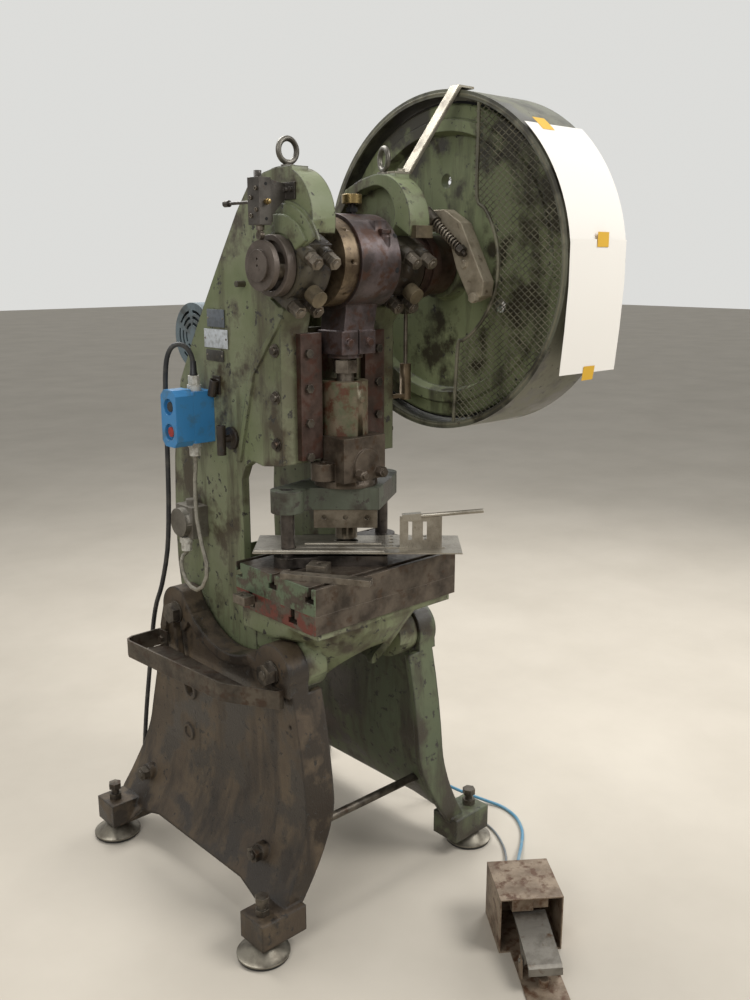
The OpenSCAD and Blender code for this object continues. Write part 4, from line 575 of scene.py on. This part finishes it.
# The starter's housing is moulded polycarbonate, bright blue, with a slate front and two recessed push buttons.
blue_box, shader = new_finish("moulded_polycarbonate_blue", Roughness=0.32, IOR=1.58)
rounded = edges(blue_box, 3)[0]
soiled = patches(blue_box, 30, 0.5, 0.75)
soil = add(blue_box, "Mix", {0: soiled, 6: linear("#3d86bd"), 7: linear("#4a6f86")}, data_type="RGBA")
blue_box.node_tree.links.new(soil.outputs[2], shader.inputs["Base Color"])
blue_box.node_tree.links.new(rounded, shader.inputs["Normal"])
coat(blue_box, "starter_box")


# Small mouldings: the same plastic all through, dulled by greasy fingers.
def moulding(name, colour, dull, roughness=0.4):
    finish, shader = new_finish(name, Roughness=roughness, IOR=1.5)
    rounded = edges(finish, 1.2)[0]
    soiled = patches(finish, 12, 0.45, 0.7)
    soil = add(finish, "Mix", {0: soiled, 6: linear(colour), 7: linear(dull)}, data_type="RGBA")
    finish.node_tree.links.new(soil.outputs[2], shader.inputs["Base Color"])
    finish.node_tree.links.new(rounded, shader.inputs["Normal"])
    return finish


smoothed("stop_button", moulding("button_red", "#a8332c", "#6e2c27"))
smoothed("start_button", moulding("button_black", "#26282a", "#3a3a38"))
smoothed("cable_glands", moulding("polyamide_light_grey", "#cfcbc0", "#958f82"))
smoothed("conduit", moulding("corrugated_conduit_grey", "#8f897a", "#6d665a", 0.5))

# The switch box below it is a small die casting in bare aluminium, gone dull.
dull_casting = oily_metal("dull_cast_aluminium", "#7f7a70", "#5f584d", "#544a3d", 0.5, 0.4, 0.62, 0.48, (1, 1, 1))
smoothed("switch_box", dull_casting)
smoothed("side_sockets", cap_iron)

# The cam valve over the end disc is a black steel block on an angle, with a spring-loaded roller plunger.
smoothed("cam_valve", oily_metal("blackened_steel", "#55504a", "#38332e", "#4d3b2c", 0.55, 0.42, 0.6, 0.4))
smoothed("valve_plunger", stud_steel)
smoothed("trip_cylinder", bush_bronze)
smoothed("trip_rod", stud_steel)
smoothed("latch_pivot", black_bolt)

# The latch spring is a compression spring of 4 mm wire on its threaded rod, which slopes down to the front.
# It has ten turns over 94 mm, and the latch that it pulls on is a worn steel casting.
slope, turn_points, spring_turns = math.radians(128), 16, 10
down = Vector((0, -math.sin(slope), math.cos(slope)))
across = Vector((0, down.z, -down.y))
coils = []
for k in range(turn_points*spring_turns + 1):
    angle = 2*math.pi*k/turn_points
    centre = place(220, -285, 1655) + down*(0.031 + 0.094*k/(turn_points*spring_turns))
    coils.append(centre + (Vector((1, 0, 0))*math.cos(angle) + across*math.sin(angle))*0.0098)
spring = fitted(tube("latch_coil_spring", coils, 0.0021, 1, 8)[0], stud_steel, "frame")
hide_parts("latch_spring")
latch_steel = oily_metal("worn_cast_steel", "#a59a86", "#7a6f5c", "#53422f", 0.4, 0.45, 0.6, 0.5, (1, 1, 1), 4)
smoothed("clutch_latch", latch_steel)

# The belt is layered rubber and cord, black and dusty.
smoothed("drive_belt", flexible("belt_rubber", "#232120", "#3b3732", 0.7))

# The die set: ground shoes gone dark with oil, green paint left on the upper one, and zinc-grey sheet over the die.
die_steel = oily_metal("oiled_ground_steel", "#5c554f", "#2b2622", "#3a2d23", 0.7, 0.38, 0.6, 0.36, (1, 1, 1))
smoothed("lower_die", die_steel)
smoothed("punch_block", oily_metal("ground_tool_steel", "#7b7264", "#4c4337", "#4b3a2b", 0.7, 0.42, 0.62, 0.36))
smoothed("upper_shoe", worn_paint("shoe_grey_green_paint", "#464a3b", "#54584a", "#37322a", "#353027",
                                  0.58, 0.5, 0.4, 3))
smoothed("stock_guide", oily_metal("cold_rolled_sheet", "#a39c8f", "#7b7366", "#6d5b47", 0.8, 0.45, 0.64, 0.33,
                                   (14, 1, 1), 0.8))

# The moving train: crankshaft and ball screw are ground bright, the end disc is turned, and the ring is bronze.
disc_steel = oily_metal("turned_steel_disc", "#625850", "#473e36", "#40322a", 0.45, 0.42, 0.62, 0.5)
rod_finish = oily_metal("oiled_forged_rod", "#5c5150", "#352c29", "#452f25", 0.5, 0.36, 0.5, 0.4, (14, 1, 1), 4)
smoothed("crankshaft", stud_steel)
smoothed("rod_screw", stud_steel)
smoothed("end_disc", disc_steel)
smoothed("eccentric_ring", bush_bronze)
smoothed("clutch_collar", oily_metal("brown_oiled_steel", "#54423a", "#33271f", "#45291c", 0.5, 0.4, 0.52, 0.4,
                                     (14, 1, 1)))
smoothed("connecting_rod", rod_finish)

# The ram is a rust-stained casting with a block of machined steel below, that clamps the upper die's shank.
smoothed("ram_slide", oily_metal("rust_stained_casting", "#6f6250", "#4a5239", "#553525", 0.35, 0.44, 0.5, 0.44,
                                 (1, 1, 1), 3))
smoothed("shank_clamp", oily_metal("machined_clamp_steel", "#61564a", "#3b3229", "#463425", 0.55, 0.4, 0.56, 0.4,
                                   (1, 1, 1), 3))

# The flywheel is a turned iron casting in its own green paint, and the motor drives it by a small steel pulley.
smoothed("flywheel", worn_paint("flywheel_green_paint", "#6e7553", "#7a805c", "#33302a", "#353124",
                                0.63, 0.5, 0.35, 4))
smoothed("motor_pulley", black_bolt)


# The left dome is cast with two shoulders round its bearing, each a few millimetres proud of the other.
def slab(name, outline, low, high, rounding=1.0, filled=True):
    """A plate across X from low to high, from its outline of (y, z) points in mm, or a bent sheet if not filled."""
    curve = bpy.data.curves.new(name, "CURVE")
    curve.dimensions = "2D" if filled else "3D"
    curve.fill_mode = "BOTH" if filled else "HALF"
    curve.extrude = (high - low)/2000 - (rounding/1000 if filled else 0)
    if filled:
        curve.bevel_depth, curve.bevel_resolution, curve.offset = rounding/1000, 2, -rounding/1000
    spline = curve.splines.new("POLY")
    spline.points.add(len(outline) - 1)
    spline.use_cyclic_u = filled
    for point, (y, z) in zip(spline.points, outline):
        point.co = (y/1000, z/1000, 0, 1)
    piece = as_mesh(name, curve)
    piece.location = place((low + high)/2, 0, 0)
    piece.rotation_euler = (math.radians(90), 0, math.radians(90))
    bpy.ops.object.transform_apply(location=True, rotation=True, scale=True)
    if not filled:
        sheet = piece.modifiers.new("sheet_thickness", "SOLIDIFY")
        sheet.thickness = 0.0003
        bpy.ops.object.modifier_apply(modifier="sheet_thickness")
    bpy.ops.object.mode_set(mode="EDIT")
    bpy.ops.mesh.select_all(action="SELECT")
    bpy.ops.mesh.remove_doubles(threshold=0.00001)
    bpy.ops.mesh.normals_make_consistent(inside=False)
    bpy.ops.object.mode_set(mode="OBJECT")
    bpy.ops.object.shade_smooth_by_angle(angle=math.radians(30))
    return piece


def around(radius, low, high, step=4):
    """Points on a circle about the crank, in mm, between two angles that are 0 straight up and grow to the front."""
    steps = max(1, round(abs(high - low)/step))
    angles = [math.radians(low + (high - low)*k/steps) for k in range(steps + 1)]
    return [(crank_y - radius*math.sin(a), crank_z + radius*math.cos(a)) for a in angles]


for name, radius, high, end in (("dome_shoulder_outer", 128, -179, 64), ("dome_shoulder_inner", 106, -187, 62)):
    outline = around(radius, -8, end) + around(66, end, -8)
    fitted(slab(name, outline, high, -170, 3), frame_paint, "frame")

# A turned steel ring is screwed to the left bearing and stands clear of the end disc, with the shaft in its bore.
fitted(turned("bearing_ring", [(62, 0), (64, 1.5), (64, 21.5), (62.5, 22.7), (53.5, 22.7), (52, 21.5), (52, 3)],
              place(-185.3, crank_y, crank_z), (-1, 0, 0), 64), disc_steel, "frame")

# The rod's head has a cast boss with a hexagon cap on its front, two oil holes and a brass oil cup on a black nipple.
# The oil holes are thin near-black discs laid on the rod's eye, painted shade in place of holes; the nipple shares
# that near-black finish.
hole_shade_and_black_finish = new_finish("hole_in_shade", Base_Color=linear("#0d0b0a"), Roughness=0.9)[0]
fitted(turned("rod_cap_boss", [(14, 0), (13, 44), (11.5, 45), (11.5, 50)], place(42, -326, 1558), up),
       rod_finish, "rod")
fitted(turned("rod_cap", [(15.5, 0), (15.5, 8), (13.5, 10)], place(42, -326, 1608), up, 6),
       rod_finish, "rod")
# each oil hole is a thin near-black disc on the rod's eye: painted shade where the hole would be
for n, (degrees, x) in enumerate(((57.5, 72), (100, 66))):
    out = Vector((0, -math.sin(math.radians(degrees)), math.cos(math.radians(degrees))))
    fitted(turned(f"rod_oil_hole_painted_shade_{n + 1}", [(6, 0), (6, 0.5)], place(x, crank_y, 1548) + out*0.1038, out, 24),
           hole_shade_and_black_finish, "rod")
cup_brass = oily_metal("polished_brass", "#8a7750", "#7a6742", "#5c4c33", 0.85, 0.45, 0.62, 0.3, corner=0.8)
fitted(turned("oil_cup_stem", [(9, 0), (9, 5), (13, 5), (13, 14), (9, 14), (9, 23)], place(28, -234, 1651.5), up, 6),
       hole_shade_and_black_finish, "rod")
fitted(turned("oil_cup_cap", [(21, 0), (22.7, 1), (22.7, 19.5), (21, 20.8), (19, 20.8), (18.5, 20.3)],
              place(28, -234, 1673.6), up), cup_brass, "rod")

# The cam valve is bolted together with socket screws, and a brass air fitting is screwed into its front.
for n, (y, z) in enumerate(((-250, 1694), (-232, 1676), (-250, 1652), (-232, 1640))):
    fitted(turned(f"valve_screw_{n + 1}", [(4.5, 0), (4.5, 3), (4, 3.4), (2.6, 3.4), (2.4, 1.2)], place(-245, y, z),
                  (-1, 0, 0), 24), stud_steel, "frame")
# its two air ports are thin near-black discs on the valve's front, painted shade in place of bored holes
for n, z in enumerate((1703, 1634)):
    fitted(turned(f"valve_port_painted_shade_{n + 1}", [(3.6, 0), (3.6, 0.4)], place(-228, -259.9, z), (0, -1, 0), 24),
           hole_shade_and_black_finish, "frame")
fitted(turned("valve_fitting", [(6.5, 0), (6.5, 7), (4.5, 7), (4.5, 13), (3.5, 13.5)], place(-228, -260, 1668),
              (0, -1, 0), 6), cup_brass, "frame")

# Three plain metal plates are riveted to the left cheek, one above the other, and each has a finish of its own.
for name, (y0, y1, z0, z1), finish in (
        ("cheek_plate_upper", (-12, 59, 1399, 1440), moulding("anodised_plate_grey", "#5d636a", "#4b4f52", 0.35)),
        ("cheek_plate_middle", (-23, 74, 1350, 1394), moulding("enamelled_plate_white", "#bfc3c6", "#8f918f", 0.35)),
        ("cheek_plate_lower", (-4, 68, 1319, 1345), moulding("etched_plate_dark", "#35322d", "#4a453c", 0.4))):
    fitted(slab(name, [(y0, z0), (y1, z0), (y1, z1), (y0, z1)], -173.4, -171.5, 0.4), finish, "frame")
    for n, y in enumerate((y0 + 5, y1 - 5)):
        fitted(turned(f"{name}_rivet_{n + 1}", [(2.6, 0), (2.4, 1), (1.2, 1.8)], place(-173.3, y, (z0 + z1)/2),
                      (-1, 0, 0), 16), stud_steel, "frame")

# Two blank sheets of office paper are taped to the right of the guard. The upper one follows the band and the
# lower one hangs free of it, with yellow tape at their edges.
paper = new_finish("office_paper", Base_Color=linear("#e6e1d8"), Roughness=0.85)[0]
tape = new_finish("yellow_cloth_tape", Base_Color=linear("#d3a52e"), Roughness=0.6)[0]
hanging = [(-643.6, 1596), (-644, 1500), (-638, 1400), (-629, 1303)]
fitted(slab("upper_sheet", around(404, 41, 83, 3), 289, 497, filled=False), paper, "frame")
fitted(slab("lower_sheet", hanging, 286, 495, filled=False), paper, "frame")
for n, (line, x) in enumerate(((around(404.8, 38, 44, 2), 334), ([(-645.2, 1612), (-645.2, 1580)], 382),
                               ([(-632, 1318), (-627, 1286)], 372))):
    fitted(slab(f"tape_strip_{n + 1}", line, x, x + 42, filled=False), tape, "frame")


# Paint is left on the table plates' left ends: green on the upper one, red oxide on the lower.
def painted_end(node, colour):
    finish = frame["nodes"][node].data.materials[0].copy()
    finish.name = node + "_end_paint"
    shader = finish.node_tree.nodes["Principled BSDF"]
    metal = shader.inputs["Base Color"].links[0].from_socket
    end = min(corner.co.x for corner in frame["nodes"][node].data.vertices) + 0.004
    x = add(finish, "SeparateXYZ", {0: add(finish, "TexCoord").outputs["Object"]}).outputs["X"]
    left = add(finish, "Math", {0: x, 1: end}, operation="LESS_THAN").outputs[0]
    flaked = patches(finish, 30, 0.43, 0.53, detail=8)
    kept = add(finish, "Math", {0: left, 1: flaked}, operation="MULTIPLY").outputs[0]
    shade = add(finish, "Mix", {0: kept, 6: metal, 7: linear(colour)}, data_type="RGBA")
    finish.node_tree.links.new(shade.outputs[2], shader.inputs["Base Color"])
    coat(finish, node)


painted_end("bolster_upper", "#66735c")
painted_end("bolster_lower", "#6f3d33")
